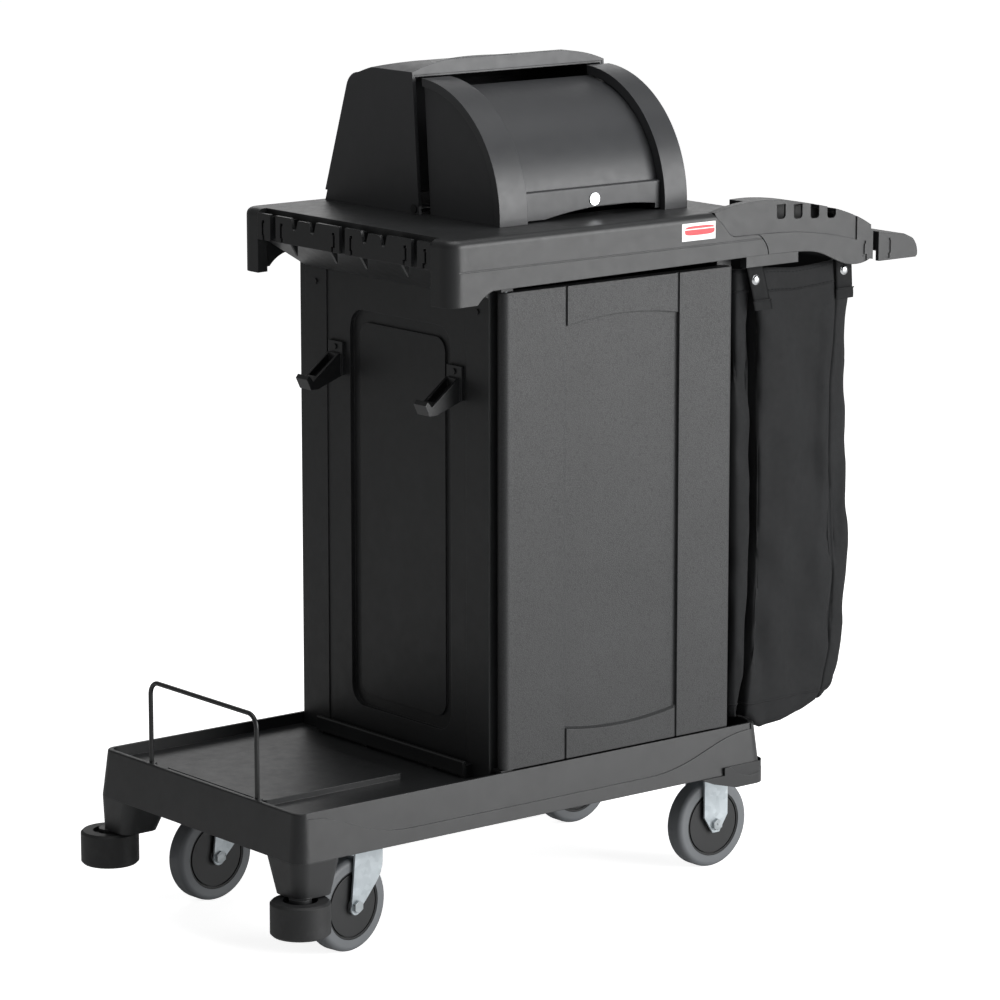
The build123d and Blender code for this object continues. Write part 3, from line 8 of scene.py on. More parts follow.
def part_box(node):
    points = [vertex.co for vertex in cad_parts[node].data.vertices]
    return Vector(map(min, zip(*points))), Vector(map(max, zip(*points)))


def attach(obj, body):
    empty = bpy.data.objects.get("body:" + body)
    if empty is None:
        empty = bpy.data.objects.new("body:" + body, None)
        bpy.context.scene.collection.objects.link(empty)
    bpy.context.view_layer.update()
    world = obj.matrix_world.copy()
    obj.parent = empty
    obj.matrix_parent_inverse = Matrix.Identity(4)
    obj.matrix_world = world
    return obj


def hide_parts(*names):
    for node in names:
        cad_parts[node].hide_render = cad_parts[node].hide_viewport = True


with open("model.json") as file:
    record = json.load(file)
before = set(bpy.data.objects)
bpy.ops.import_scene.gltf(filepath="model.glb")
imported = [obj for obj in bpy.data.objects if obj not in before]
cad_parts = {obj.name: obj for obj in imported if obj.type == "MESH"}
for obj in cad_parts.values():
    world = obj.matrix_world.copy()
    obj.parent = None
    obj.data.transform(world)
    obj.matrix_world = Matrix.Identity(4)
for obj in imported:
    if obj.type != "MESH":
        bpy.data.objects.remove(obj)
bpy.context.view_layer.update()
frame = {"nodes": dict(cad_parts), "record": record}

bl_info = {
    "name": "Housekeeping cart looks",
    "version": (1, 0, 0),
    "blender": (4, 5, 0),
    "location": "3D View > Sidebar > Cart",
    "description": "Finishes, linen bag, webbing, stitching and studio for the housekeeping cart",
    "category": "Object",
}

DECK_LOW, DECK_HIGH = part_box("deck")
BAG_LOW, BAG_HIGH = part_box("bag")
PLATFORM_END = DECK_LOW.x       # lengths along the cart are measured from here, in millimetres


# ---------------------------------------------------------------- helpers
def place(x, y, z):
    """A point of the cart: x from the platform end, y from the middle plane, z from the floor, in mm."""
    return Vector((PLATFORM_END + x / 1000, y / 1000, z / 1000))


def paint(hex_colour):
    """An sRGB hex colour as linear red, green, blue and alpha."""
    digits = hex_colour.lstrip("#")
    channels = [int(digits[i:i + 2], 16) / 255 for i in (0, 2, 4)]
    return tuple(c / 12.92 if c <= 0.04045 else ((c + 0.055) / 1.055) ** 2.4 for c in channels) + (1.0,)


def add_node(tree, kind, inputs=None, **settings):
    """Add a node, apply its settings, and give its inputs values or links."""
    made = tree.nodes.new(kind)
    for name, value in settings.items():
        setattr(made, name, value)
    for key, value in (inputs or {}).items():
        if isinstance(value, bpy.types.NodeSocket):
            tree.links.new(value, made.inputs[key])
        else:
            made.inputs[key].default_value = value
    return made


def new_material(name):
    """An empty node material with its output and a shader, and the object's own coordinates in metres."""
    material = bpy.data.materials.new(name)
    material.use_nodes = True
    tree = material.node_tree
    tree.nodes.clear()
    shader = add_node(tree, "ShaderNodeBsdfPrincipled")
    add_node(tree, "ShaderNodeOutputMaterial", {"Surface": shader.outputs["BSDF"]})
    where = add_node(tree, "ShaderNodeTexCoord").outputs["Object"]
    return material, tree, shader, where


def per_metre(size_mm):
    """Texture scale that repeats about once every size_mm."""
    return 1000.0 / size_mm


def rounded_normal(tree, radius_mm):
    """A normal that rounds sharp edges by radius_mm."""
    return add_node(tree, "ShaderNodeBevel", {"Radius": radius_mm / 1000}, samples=4).outputs["Normal"]


def edge_wear(tree, rounded):
    """Mask of the edges: where the rounded normal turns away from the face's own."""
    flat = add_node(tree, "ShaderNodeNewGeometry").outputs["Normal"]
    same = add_node(tree, "ShaderNodeVectorMath", {0: rounded, 1: flat}, operation="DOT_PRODUCT")
    return add_node(tree, "ShaderNodeMapRange",
                    {"Value": same.outputs["Value"], "From Min": 0.995, "From Max": 0.86,
                     "To Min": 0.0, "To Max": 1.0}).outputs["Result"]


# ---------------------------------------------------------------- finishes
def moulded_plastic(name, colour, worn_colour, roughness, grain_mm, grain_depth, round_mm=1.2, swirl=0.12):
    """Moulded polyolefin: a fine even grain from the mould, faint flow swirls, and edges rubbed lighter."""
    material, tree, shader, where = new_material(name)
    flow = add_node(tree, "ShaderNodeTexNoise", {"Vector": where, "Scale": per_metre(140), "Detail": 3.0,
                                                 "Distortion": 1.6}).outputs["Fac"]
    grain = add_node(tree, "ShaderNodeTexNoise",
                     {"Vector": where, "Scale": per_metre(grain_mm), "Detail": 3.0,
                      "Roughness": 0.6}).outputs["Fac"]
    rounded = rounded_normal(tree, round_mm)
    edges = edge_wear(tree, rounded)
    scuffs = add_node(tree, "ShaderNodeTexNoise", {"Vector": where, "Scale": per_metre(18), "Detail": 5.0,
                                                   "Roughness": 0.7}).outputs["Fac"]
    rubbed = add_node(tree, "ShaderNodeMath", {0: edges, 1: scuffs}, operation="MULTIPLY").outputs[0]
    tone = add_node(tree, "ShaderNodeMapRange", {"Value": flow, "From Min": 0.3, "From Max": 0.7,
                                                 "To Min": 1.0 - swirl,
                                                 "To Max": 1.0 + swirl}).outputs["Result"]
    base = add_node(tree, "ShaderNodeMix", {0: rubbed, 6: paint(colour), 7: paint(worn_colour)},
                    data_type="RGBA").outputs[2]
    toned = add_node(tree, "ShaderNodeVectorMath", {0: base, "Scale": tone},
                     operation="SCALE").outputs["Vector"]
    gloss = add_node(tree, "ShaderNodeMapRange", {"Value": scuffs, "From Min": 0.25, "From Max": 0.75,
                                                  "To Min": roughness - 0.05, "To Max": roughness + 0.07})
    bump = add_node(tree, "ShaderNodeBump",
                    {"Height": grain, "Strength": 0.35, "Distance": grain_depth / 1000,
                     "Normal": rounded}).outputs["Normal"]
    tree.links.new(toned, shader.inputs["Base Color"])
    tree.links.new(gloss.outputs["Result"], shader.inputs["Roughness"])
    tree.links.new(bump, shader.inputs["Normal"])
    shader.inputs["IOR"].default_value = 1.5
    return material


def leather_grain_plastic(look):
    """Polypropylene moulded against a leather grained tool: flat pebbles with narrow valleys."""
    material, tree, shader, where = new_material("grained_polypropylene_door")
    # real pebbles are about 1.5 mm; drawn at 2.4 mm so that they show
    wobble = add_node(tree, "ShaderNodeTexNoise", {"Vector": where, "Scale": per_metre(6), "Detail": 2.0})
    moved = add_node(tree, "ShaderNodeVectorMath", {0: wobble.outputs["Color"], 1: (0.5, 0.5, 0.5)},
                     operation="SUBTRACT").outputs["Vector"]
    shift = add_node(tree, "ShaderNodeVectorMath", {0: moved, "Scale": 0.0022},
                     operation="SCALE").outputs["Vector"]
    warped = add_node(tree, "ShaderNodeVectorMath", {0: where, 1: shift}, operation="ADD").outputs["Vector"]
    pebbles = add_node(tree, "ShaderNodeTexVoronoi", {"Vector": warped, "Scale": per_metre(2.4)},
                       feature="DISTANCE_TO_EDGE").outputs["Distance"]
    raised = add_node(tree, "ShaderNodeMapRange", {"Value": pebbles, "From Min": 0.0, "From Max": 0.22},
                      interpolation_type="SMOOTHSTEP").outputs["Result"]
    cloud = add_node(tree, "ShaderNodeTexNoise", {"Vector": where, "Scale": per_metre(90), "Detail": 4.0,
                                                  "Roughness": 0.6}).outputs["Fac"]
    rounded = rounded_normal(tree, 1.5)
    edges = edge_wear(tree, rounded)
    # the valleys between the pebbles are painted darker: painted shade in the grain's hollows
    valley_painted_shade = add_node(tree, "ShaderNodeMix", {0: raised, 6: paint("#232425"), 7: paint(look.door)},
                      data_type="RGBA").outputs[2]
    rubbed = add_node(tree, "ShaderNodeMath", {0: edges, 1: 0.35}, operation="MULTIPLY").outputs[0]
    base = add_node(tree, "ShaderNodeMix", {0: rubbed, 6: valley_painted_shade, 7: paint("#4a4b4d")},
                    data_type="RGBA").outputs[2]
    tone = add_node(tree, "ShaderNodeMapRange", {"Value": cloud, "From Min": 0.3, "From Max": 0.7,
                                                 "To Min": 0.88, "To Max": 1.12}).outputs["Result"]
    toned = add_node(tree, "ShaderNodeVectorMath", {0: base, "Scale": tone},
                     operation="SCALE").outputs["Vector"]
    gloss = add_node(tree, "ShaderNodeMapRange", {"Value": raised, "To Min": 0.62, "To Max": 0.42})
    bump = add_node(tree, "ShaderNodeBump", {"Height": raised, "Strength": 0.4, "Distance": 0.00022,
                                             "Normal": rounded}).outputs["Normal"]
    tree.links.new(toned, shader.inputs["Base Color"])
    tree.links.new(gloss.outputs["Result"], shader.inputs["Roughness"])
    tree.links.new(bump, shader.inputs["Normal"])
    return material


def zinc_steel(name, colour, dark_colour, roughness):
    """Pressed steel with bright zinc plating: faint spangle and rolling lines."""
    material, tree, shader, where = new_material(name)
    spangle = add_node(tree, "ShaderNodeTexVoronoi",
                       {"Vector": where, "Scale": per_metre(7)}).outputs["Color"]
    grey = add_node(tree, "ShaderNodeRGBToBW", {"Color": spangle}).outputs["Val"]
    cloud = add_node(tree, "ShaderNodeTexNoise",
                     {"Vector": where, "Scale": per_metre(22), "Detail": 5.0}).outputs["Fac"]
    long_way = add_node(tree, "ShaderNodeMapping",
                        {"Vector": where, "Scale": (1.0, 1.0, 0.05)}).outputs["Vector"]
    lines = add_node(tree, "ShaderNodeTexNoise",
                     {"Vector": long_way, "Scale": per_metre(0.8), "Detail": 2.0}).outputs["Fac"]
    blend = add_node(tree, "ShaderNodeMix", {0: 0.35, 2: cloud, 3: grey}).outputs[0]
    base = add_node(tree, "ShaderNodeMix", {0: blend, 6: paint(dark_colour), 7: paint(colour)},
                    data_type="RGBA").outputs[2]
    gloss = add_node(tree, "ShaderNodeMapRange", {"Value": blend, "From Min": 0.3, "From Max": 0.7,
                                                  "To Min": roughness - 0.05, "To Max": roughness + 0.1})
    rounded = rounded_normal(tree, 0.6)
    bump = add_node(tree, "ShaderNodeBump", {"Height": lines, "Strength": 0.15, "Distance": 0.0001,
                                             "Normal": rounded}).outputs["Normal"]
    tree.links.new(base, shader.inputs["Base Color"])
    tree.links.new(gloss.outputs["Result"], shader.inputs["Roughness"])
    tree.links.new(bump, shader.inputs["Normal"])
    shader.inputs["Metallic"].default_value = 0.5
    return material


def rubber(name, colour, dust_colour, roughness, speck_mm):
    """Moulded rubber: soft sheen, fine pits and a little dust in patches."""
    material, tree, shader, where = new_material(name)
    dust = add_node(tree, "ShaderNodeTexNoise", {"Vector": where, "Scale": per_metre(28), "Detail": 6.0,
                                                 "Roughness": 0.65}).outputs["Fac"]
    patch = add_node(tree, "ShaderNodeMapRange", {"Value": dust, "From Min": 0.48, "From Max": 0.75,
                                                  "To Min": 0.0, "To Max": 0.55}).outputs["Result"]
    base = add_node(tree, "ShaderNodeMix", {0: patch, 6: paint(colour), 7: paint(dust_colour)},
                    data_type="RGBA").outputs[2]
    pits = add_node(tree, "ShaderNodeTexNoise",
                    {"Vector": where, "Scale": per_metre(speck_mm), "Detail": 3.0}).outputs["Fac"]
    gloss = add_node(tree, "ShaderNodeMapRange",
                     {"Value": dust, "To Min": roughness - 0.1, "To Max": roughness + 0.12})
    rounded = rounded_normal(tree, 1.0)
    bump = add_node(tree, "ShaderNodeBump", {"Height": pits, "Strength": 0.3, "Distance": 0.0002,
                                             "Normal": rounded}).outputs["Normal"]
    tree.links.new(base, shader.inputs["Base Color"])
    tree.links.new(gloss.outputs["Result"], shader.inputs["Roughness"])
    tree.links.new(bump, shader.inputs["Normal"])
    shader.inputs["IOR"].default_value = 1.52
    return material


def woven_cloth(name, colour, lit_colour, thread_mm, roughness, slub=0.25):
    """Plain weave of coated yarn: threads over and under, slightly uneven, with a low sheen."""
    material, tree, shader, where = new_material(name)
    parts = add_node(tree, "ShaderNodeSeparateXYZ", {"Vector": where})
    around = add_node(tree, "ShaderNodeMath", {0: parts.outputs["X"], 1: parts.outputs["Y"]},
                      operation="ADD").outputs[0]
    # threads are about 0.5 mm apart; drawn coarser so that the weave shows
    turns = 2 * math.pi * per_metre(thread_mm)
    warp = add_node(tree, "ShaderNodeMath", {0: around, 1: turns}, operation="MULTIPLY").outputs[0]
    weft = add_node(tree, "ShaderNodeMath", {0: parts.outputs["Z"], 1: turns},
                    operation="MULTIPLY").outputs[0]
    warp_wave = add_node(tree, "ShaderNodeMath", {0: warp}, operation="SINE").outputs[0]
    weft_wave = add_node(tree, "ShaderNodeMath", {0: weft}, operation="SINE").outputs[0]
    over = add_node(tree, "ShaderNodeMath", {0: warp_wave, 1: weft_wave}, operation="MULTIPLY").outputs[0]
    uneven = add_node(tree, "ShaderNodeTexNoise",
                      {"Vector": where, "Scale": per_metre(9), "Detail": 4.0}).outputs["Fac"]
    cloud = add_node(tree, "ShaderNodeTexNoise",
                     {"Vector": where, "Scale": per_metre(120), "Detail": 4.0}).outputs["Fac"]
    height = add_node(tree, "ShaderNodeMath", {0: uneven, 1: slub, 2: over},
                      operation="MULTIPLY_ADD").outputs[0]
    # threads lying over are painted toward the lit colour: a painted highlight on the raised threads of the
    # weave
    over_thread_highlight = add_node(tree, "ShaderNodeMapRange", {"Value": over, "From Min": -1.0, "From Max": 1.0,
                                                 "To Min": 0.15, "To Max": 0.65}).outputs["Result"]
    mixed = add_node(tree, "ShaderNodeMix", {0: over_thread_highlight, 6: paint(colour), 7: paint(lit_colour)},
                     data_type="RGBA").outputs[2]
    tone = add_node(tree, "ShaderNodeMapRange", {"Value": cloud, "From Min": 0.3, "From Max": 0.7,
                                                 "To Min": 0.8, "To Max": 1.15}).outputs["Result"]
    toned = add_node(tree, "ShaderNodeVectorMath", {0: mixed, "Scale": tone},
                     operation="SCALE").outputs["Vector"]
    gloss = add_node(tree, "ShaderNodeMapRange",
                     {"Value": uneven, "To Min": roughness - 0.06, "To Max": roughness + 0.1})
    bump = add_node(tree, "ShaderNodeBump",
                    {"Height": height, "Strength": 0.4, "Distance": 0.00018}).outputs["Normal"]
    tree.links.new(toned, shader.inputs["Base Color"])
    tree.links.new(gloss.outputs["Result"], shader.inputs["Roughness"])
    tree.links.new(bump, shader.inputs["Normal"])
    shader.inputs["Sheen Weight"].default_value = 0.03
    shader.inputs["Sheen Roughness"].default_value = 0.5
    shader.inputs["Specular IOR Level"].default_value = 0.25
    return material


def powder_coat(look):
    """Steel wire with a black powder coat: slight orange peel."""
    material, tree, shader, where = new_material("powder_coated_steel_wire")
    peel = add_node(tree, "ShaderNodeTexNoise",
                    {"Vector": where, "Scale": per_metre(1.6), "Detail": 2.0}).outputs["Fac"]
    wear = add_node(tree, "ShaderNodeTexNoise",
                    {"Vector": where, "Scale": per_metre(35), "Detail": 5.0}).outputs["Fac"]
    base = add_node(tree, "ShaderNodeMix", {0: wear, 6: paint(look.wire), 7: paint("#242526")},
                    data_type="RGBA").outputs[2]
    gloss = add_node(tree, "ShaderNodeMapRange", {"Value": wear, "To Min": 0.28, "To Max": 0.42})
    bump = add_node(tree, "ShaderNodeBump",
                    {"Height": peel, "Strength": 0.25, "Distance": 0.00015}).outputs["Normal"]
    tree.links.new(base, shader.inputs["Base Color"])
    tree.links.new(gloss.outputs["Result"], shader.inputs["Roughness"])
    tree.links.new(bump, shader.inputs["Normal"])
    return material


def polished_nickel(look):
    """Nickel plate over brass: bright, with fine handling scratches."""
    material, tree, shader, where = new_material("nickel_plated_brass")
    scratch = add_node(tree, "ShaderNodeTexNoise", {"Vector": where, "Scale": per_metre(1.2), "Detail": 6.0,
                                                    "Distortion": 2.0}).outputs["Fac"]
    base = add_node(tree, "ShaderNodeMix", {0: scratch, 6: paint("#a9acae"), 7: paint(look.nickel)},
                    data_type="RGBA").outputs[2]
    gloss = add_node(tree, "ShaderNodeMapRange", {"Value": scratch, "To Min": 0.12, "To Max": 0.3})
    tree.links.new(base, shader.inputs["Base Color"])
    tree.links.new(gloss.outputs["Result"], shader.inputs["Roughness"])
    shader.inputs["Metallic"].default_value = 1.0
    return material


def printed_film(look):
    """White vinyl film printed with a plain rounded red field and two thin stripes, no lettering."""
    material, tree, shader, where = new_material("printed_vinyl_label")
    low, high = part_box("blank_label")
    middle = (low + high) / 2
    half = (high - low) / 2
    local = add_node(tree, "ShaderNodeMapping",
                     {"Vector": where, "Location": (-middle.x / half.x, 0.0, -middle.z / half.z),
                      "Scale": (1 / half.x, 0.0, 1 / half.z)}).outputs["Vector"]
    parts = add_node(tree, "ShaderNodeSeparateXYZ", {"Vector": local})
    field = add_node(tree, "ShaderNodeMapping", {"Vector": local, "Location": (-0.06, 0.0, -0.24),
                                                 "Scale": (1.12, 0.0, 1.9)}).outputs["Vector"]
    squared = add_node(tree, "ShaderNodeVectorMath", {0: field, 1: field},
                       operation="MULTIPLY").outputs["Vector"]
    fourth = add_node(tree, "ShaderNodeVectorMath", {0: squared, 1: squared},
                      operation="MULTIPLY").outputs["Vector"]
    total = add_node(tree, "ShaderNodeVectorMath", {0: fourth, 1: (1.0, 0.0, 1.0)},
                     operation="DOT_PRODUCT").outputs["Value"]
    inside = add_node(tree, "ShaderNodeMath", {0: total, 1: 1.0}, operation="LESS_THAN").outputs[0]
    band = add_node(tree, "ShaderNodeMath", {0: parts.outputs["Z"], 1: 0.30, 2: 0.06},
                    operation="COMPARE").outputs[0]
    gap = add_node(tree, "ShaderNodeMath", {0: 1.0, 1: band}, operation="SUBTRACT").outputs[0]
    red = add_node(tree, "ShaderNodeMath", {0: inside, 1: gap}, operation="MULTIPLY").outputs[0]
    stripe = add_node(tree, "ShaderNodeMath", {0: parts.outputs["Z"], 1: -0.55, 2: 0.05},
                      operation="COMPARE").outputs[0]
    short = add_node(tree, "ShaderNodeMath", {0: parts.outputs["X"], 1: 0.75},
                     operation="LESS_THAN").outputs[0]
    ruled = add_node(tree, "ShaderNodeMath", {0: stripe, 1: short}, operation="MULTIPLY").outputs[0]
    fibre = add_node(tree, "ShaderNodeTexNoise",
                     {"Vector": where, "Scale": per_metre(1.5), "Detail": 2.0}).outputs["Fac"]
    paper = add_node(tree, "ShaderNodeMix", {0: fibre, 6: paint("#ececea"), 7: paint("#fbfbfa")},
                     data_type="RGBA").outputs[2]
    printed = add_node(tree, "ShaderNodeMix", {0: red, 6: paper, 7: paint(look.label_red)},
                       data_type="RGBA").outputs[2]
    lined = add_node(tree, "ShaderNodeMix", {0: ruled, 6: printed, 7: paint("#b9b9b8")},
                     data_type="RGBA").outputs[2]
    tree.links.new(lined, shader.inputs["Base Color"])
    shader.inputs["Roughness"].default_value = 0.35
    return material


# ---------------------------------------------------------------- mesh helpers
def new_piece(name, points, faces, material, smooth=True):
    """A mesh object from points in metres and faces, with one material."""
    mesh = bpy.data.meshes.new(name)
    mesh.from_pydata([tuple(p) for p in points], [], faces)
    mesh.update()
    for face in mesh.polygons:
        face.use_smooth = smooth
    mesh.materials.append(material)
    piece = bpy.data.objects.new(name, mesh)
    bpy.context.scene.collection.objects.link(piece)
    return piece


def finish_piece(piece, body, slot, *replaced):
    """Ride the piece on its body and hide the CAD nodes it stands for; the slot is not used."""
    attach(piece, body)
    if replaced:
        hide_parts(*replaced)


def tube(path, radius, sides=8, closed=False):
    """Points and faces of a round tube that follows a path of vectors."""
    points, faces = [], []
    count = len(path)
    for i, here in enumerate(path):
        ahead = path[(i + 1) % count] if closed or i + 1 < count else here
        behind = path[i - 1] if closed or i > 0 else here
        along = (ahead - behind).normalized()
        side = along.cross(Vector((0.13, 0.21, 0.97))).normalized()
        up = along.cross(side).normalized()
        for k in range(sides):
            angle = 2 * math.pi * k / sides
            points.append(here + side * (radius * math.cos(angle)) + up * (radius * math.sin(angle)))
    spans = count if closed else count - 1
    for i in range(spans):
        j = (i + 1) % count
        for k in range(sides):
            m = (k + 1) % sides
            faces.append((i * sides + k, i * sides + m, j * sides + m, j * sides + k))
    if not closed:
        faces.append(tuple(range(sides))[::-1])
        faces.append(tuple(range((count - 1) * sides, count * sides)))
    return points, faces


def merge(parts):
    """Join several (points, faces) pairs into one."""
    points, faces = [], []
    for some_points, some_faces in parts:
        start = len(points)
        points.extend(some_points)
        faces.extend(tuple(i + start for i in face) for face in some_faces)
    return points, faces


def turned_form(profile, centre, axis, sides=40):
    """Points and faces of a profile of (radius, height) turned about an axis, closed at both ends."""
    side = axis.orthogonal().normalized()
    up = axis.cross(side).normalized()
    points, faces = [], []
    for radius, height in profile:
        for k in range(sides):
            angle = 2 * math.pi * k / sides
            points.append(centre + axis * (height / 1000)
                          + (side * math.cos(angle) + up * math.sin(angle)) * (radius / 1000))
    for i in range(len(profile) - 1):
        for k in range(sides):
            m = (k + 1) % sides
            faces.append((i * sides + k, i * sides + m, (i + 1) * sides + m, (i + 1) * sides + k))
    faces.append(tuple(range(sides))[::-1])
    faces.append(tuple(range((len(profile) - 1) * sides, len(profile) * sides)))
    return points, faces


# ---------------------------------------------------------------- settings
class CartLook(bpy.types.PropertyGroup):
    """Colours of the cart's finishes, as sRGB hex values."""
    body: bpy.props.StringProperty(
        name="Body", description="Deck, top and handle plastic", default="#232425")
    panel: bpy.props.StringProperty(
        name="Panels", description="Cabinet panel plastic", default="#202122")
    door: bpy.props.StringProperty(
        name="Door", description="Grained door plastic", default="#2c2d2e")
    hood: bpy.props.StringProperty(name="Hood", description="Hood plastic", default="#363739")
    fitting: bpy.props.StringProperty(
        name="Fittings", description="Tool holders, hooks and clips", default="#1d1e1f")
    wire: bpy.props.StringProperty(name="Wire", description="Coated wire guard", default="#151616")
    zinc: bpy.props.StringProperty(
        name="Zinc", description="Caster forks and bolts", default="#cfd6da")
    tread: bpy.props.StringProperty(name="Tread", description="Grey wheel tread", default="#696c6f")
    hub: bpy.props.StringProperty(name="Hub", description="Wheel centre", default="#1f2021")
    bumper: bpy.props.StringProperty(
        name="Bumper", description="Bumper roller rubber", default="#18191a")
    cloth: bpy.props.StringProperty(
        name="Bag cloth", description="Coated bag cloth", default="#0f1011")
    webbing: bpy.props.StringProperty(
        name="Webbing", description="Bag strap webbing", default="#0b0c0c")
    nickel: bpy.props.StringProperty(name="Nickel", description="Snaps and lock", default="#e2e4e5")
    label_red: bpy.props.StringProperty(
        name="Label red", description="Colour printed on the label", default="#d8232f")


class CartBag(bpy.types.PropertyGroup):
    """Sizes of the linen bag's cloth and seams."""
    hem_width: bpy.props.FloatProperty(
        name="Hem", description="Width of the turned top hem, in mm", default=33.0, min=10.0, max=60.0)
    fold_depth: bpy.props.FloatProperty(
        name="Fold depth", description="How far soft folds stand out, in mm", default=12.0, min=0.0,
        max=18.0)
    pleat_depth: bpy.props.FloatProperty(
        name="Pleat", description="Depth of the side pleat by the cabinet, in mm", default=24.0, min=5.0,
        max=40.0)
    stitch_pitch: bpy.props.FloatProperty(
        name="Stitch pitch", description="Distance between stitches, in mm", default=7.0, min=3.0, max=15.0)
    cloth_thickness: bpy.props.FloatProperty(
        name="Cloth", description="Thickness of the cloth, in mm", default=1.4, min=0.3, max=3.0)


class CartStudio(bpy.types.PropertyGroup):
    """The floor, lights and camera."""
    floor: bpy.props.StringProperty(
        name="Floor", description="Pale floor colour", default="#f4f4f4")
    floor_lift: bpy.props.FloatProperty(
        name="Floor lift", description="Glow of the floor", default=0.85, min=0.0, max=2.0)
    sky: bpy.props.FloatProperty(
        name="Room light", description="Strength of the even light all round", default=0.19)
    key_power: bpy.props.FloatProperty(
        name="Key light", description="Power of the large front light", default=225.0, unit="POWER")
    top_power: bpy.props.FloatProperty(
        name="Top light", description="Power of the overhead light", default=44.0, unit="POWER")
    rim_power: bpy.props.FloatProperty(
        name="Rim light", description="Power of the light behind", default=22.0, unit="POWER")
    lens: bpy.props.FloatProperty(
        name="Lens", description="Focal length on a 36 mm sensor", default=160.3)


# where each light stands and aims, in metres, its width and height, and the setting that holds its power
LIGHTS = (
    ("key_softbox", (2.3, -3.9, 1.5), (0.05, 0.0, 0.55), 3.4, 2.8, "key_power"),
    ("top_softbox", (0.2, -0.4, 3.6), (0.0, 0.0, 0.9), 2.4, 2.4, "top_power"),
    ("rim_softbox", (2.2, 3.0, 2.3), (0.0, 0.0, 0.9), 3.0, 1.6, "rim_power"),
)
CAMERA_SPOT = (-3.8074, -4.7235, 1.7421)
CAMERA_TILT = 78.745            # degrees from straight down
CAMERA_TURN = -38.804           # degrees about the vertical
FLOOR_REACH = 30.0


# ---------------------------------------------------------------- operators
class CART_OT_finishes(bpy.types.Operator):
    """Give every carried-over node its finish"""
    bl_idname = "cart.finishes"
    bl_label = "Finish the mouldings and metal"

    def execute(self, context):
        look = context.scene.cart_look
        body = moulded_plastic("moulded_polyethylene_body", look.body, "#4c4d4f", 0.42, 0.9, 0.12)
        panel = moulded_plastic("moulded_polypropylene_panel", look.panel, "#434446", 0.46, 1.1, 0.12)
        hood = moulded_plastic("moulded_abs_hood", look.hood, "#58595b", 0.40, 1.4, 0.05, swirl=0.06)
        fitting = moulded_plastic("moulded_nylon_fittings", look.fitting, "#444548", 0.34, 0.8, 0.06)
        hub = moulded_plastic("moulded_polypropylene_hub", look.hub, "#363739", 0.42, 0.9, 0.06)
        door = leather_grain_plastic(look)
        zinc = zinc_steel("zinc_plated_pressed_steel", look.zinc, "#9fa8ad", 0.34)
        bolts = zinc_steel("zinc_plated_bolts", "#c4cacd", "#8d9497", 0.3)
        tread = rubber("thermoplastic_rubber_tread", look.tread, "#6f7274", 0.5, 1.4)
        bumper = rubber("moulded_bumper_rubber", look.bumper, "#343536", 0.55, 1.2)
        finishes = {
            "moulded_plastic": body, "panel_plastic": panel, "grained_plastic": door, "hood_plastic": hood,
            "fitting_plastic": fitting, "coated_wire": powder_coat(look), "zinc_steel": zinc,
            "bright_fasteners": bolts, "dark_fasteners": powder_coat(look), "grey_tread": tread,
            "wheel_hub": hub, "roller_rubber": bumper, "nickel": polished_nickel(look),
            "label": printed_film(look),
            "bag_fabric": woven_cloth("coated_nylon_bag_cloth", look.cloth, "#1f2022", 1.3, 0.7),
            "webbing": woven_cloth("woven_polyester_webbing", look.webbing, "#222325", 2.0, 0.78),
        }
        for part in frame["record"]["subparts"]:
            node = frame["nodes"][part["node"]]
            node.data.materials.clear()
            node.data.materials.append(finishes[part["material_slot"]])
            for face in node.data.polygons:
                face.use_smooth = True
        return {"FINISHED"}


def between(table, x):
    """Value at x of a line through the table's (x, value) pairs, smoothed at each pair."""
    for (x0, y0), (x1, y1) in zip(table, table[1:]):
        if x <= x1:
            t = min(1.0, max(0.0, (x - x0) / (x1 - x0)))
            return y0 + (y1 - y0) * (0.5 * t + 0.5 * t * t * (3 - 2 * t))
    return table[-1][1]


# the bag's rear edge and front fold as (height, x), and the height of its lowest cloth as (x, height), in mm
BACK_EDGE = ((204, 925), (232, 948), (262, 975), (309, 988), (410, 994), (497, 989), (585, 982),
             (685, 982), (755, 989), (801, 992), (857, 988))
FRONT_FOLD = ((224, 790), (260, 800), (350, 812), (450, 816), (560, 817), (700, 815), (857, 811))
LOW_EDGE = ((770, 224), (804, 224.5), (812, 216), (818, 206.5), (859, 209), (897, 218), (935, 231),
            (952, 243), (972, 262), (994, 298))
BAG_TOP = 857.0
BAG_HALF_WIDTH = 207.5
EDGES_START = 250.0             # the two edges are read at heights from here to BAG_TOP
CLOTH_DROP = BAG_TOP - 215.0    # from the hem's top to the mean height of the lowest cloth
FOLD_OUT = 1.6                  # folds stand out no further than this, clear of the parts beside the bag
MOUTH_SAG = 5.0                 # the mouth hangs this far between the straps
SAG_START = 0.85                # the sag grows over the top part of the bag, from here up
SAG_BAND = 0.15
SAG_FROM = 806.0                # the x at which the sag starts, and its length along the cart
SAG_LENGTH = 170.0
BASE_MIDDLE = Vector((868.0, 0.0))
DECK_REACH = 807.0              # the bag's base rests over the deck's end up to here
CLOTH_OVER_DECK = 222.5
CLOTH_PAST_DECK = 206.0
BAG_ROWS = 80
RING_STEPS = 5                  # points of the plan line between two points of the section
REAR_CORNER = 17                # the section's point that the rear corner seam follows
BASE_LEVELS = (0.985, 0.96, 0.92, 0.85, 0.74, 0.6, 0.42, 0.22)
HEM_ROWS = 6
HEM_OUT = 1.9                   # how far the hem's outer and inner sheets stand off the cloth
HEM_IN = 0.2
BASE_SEAM_HEIGHT = 241.0
BASE_SEAM_RADIUS = 2.4
CORNER_SEAM_RADIUS = 1.3
STITCH_RADIUS = 0.45
STITCH_LIFT = 2.1

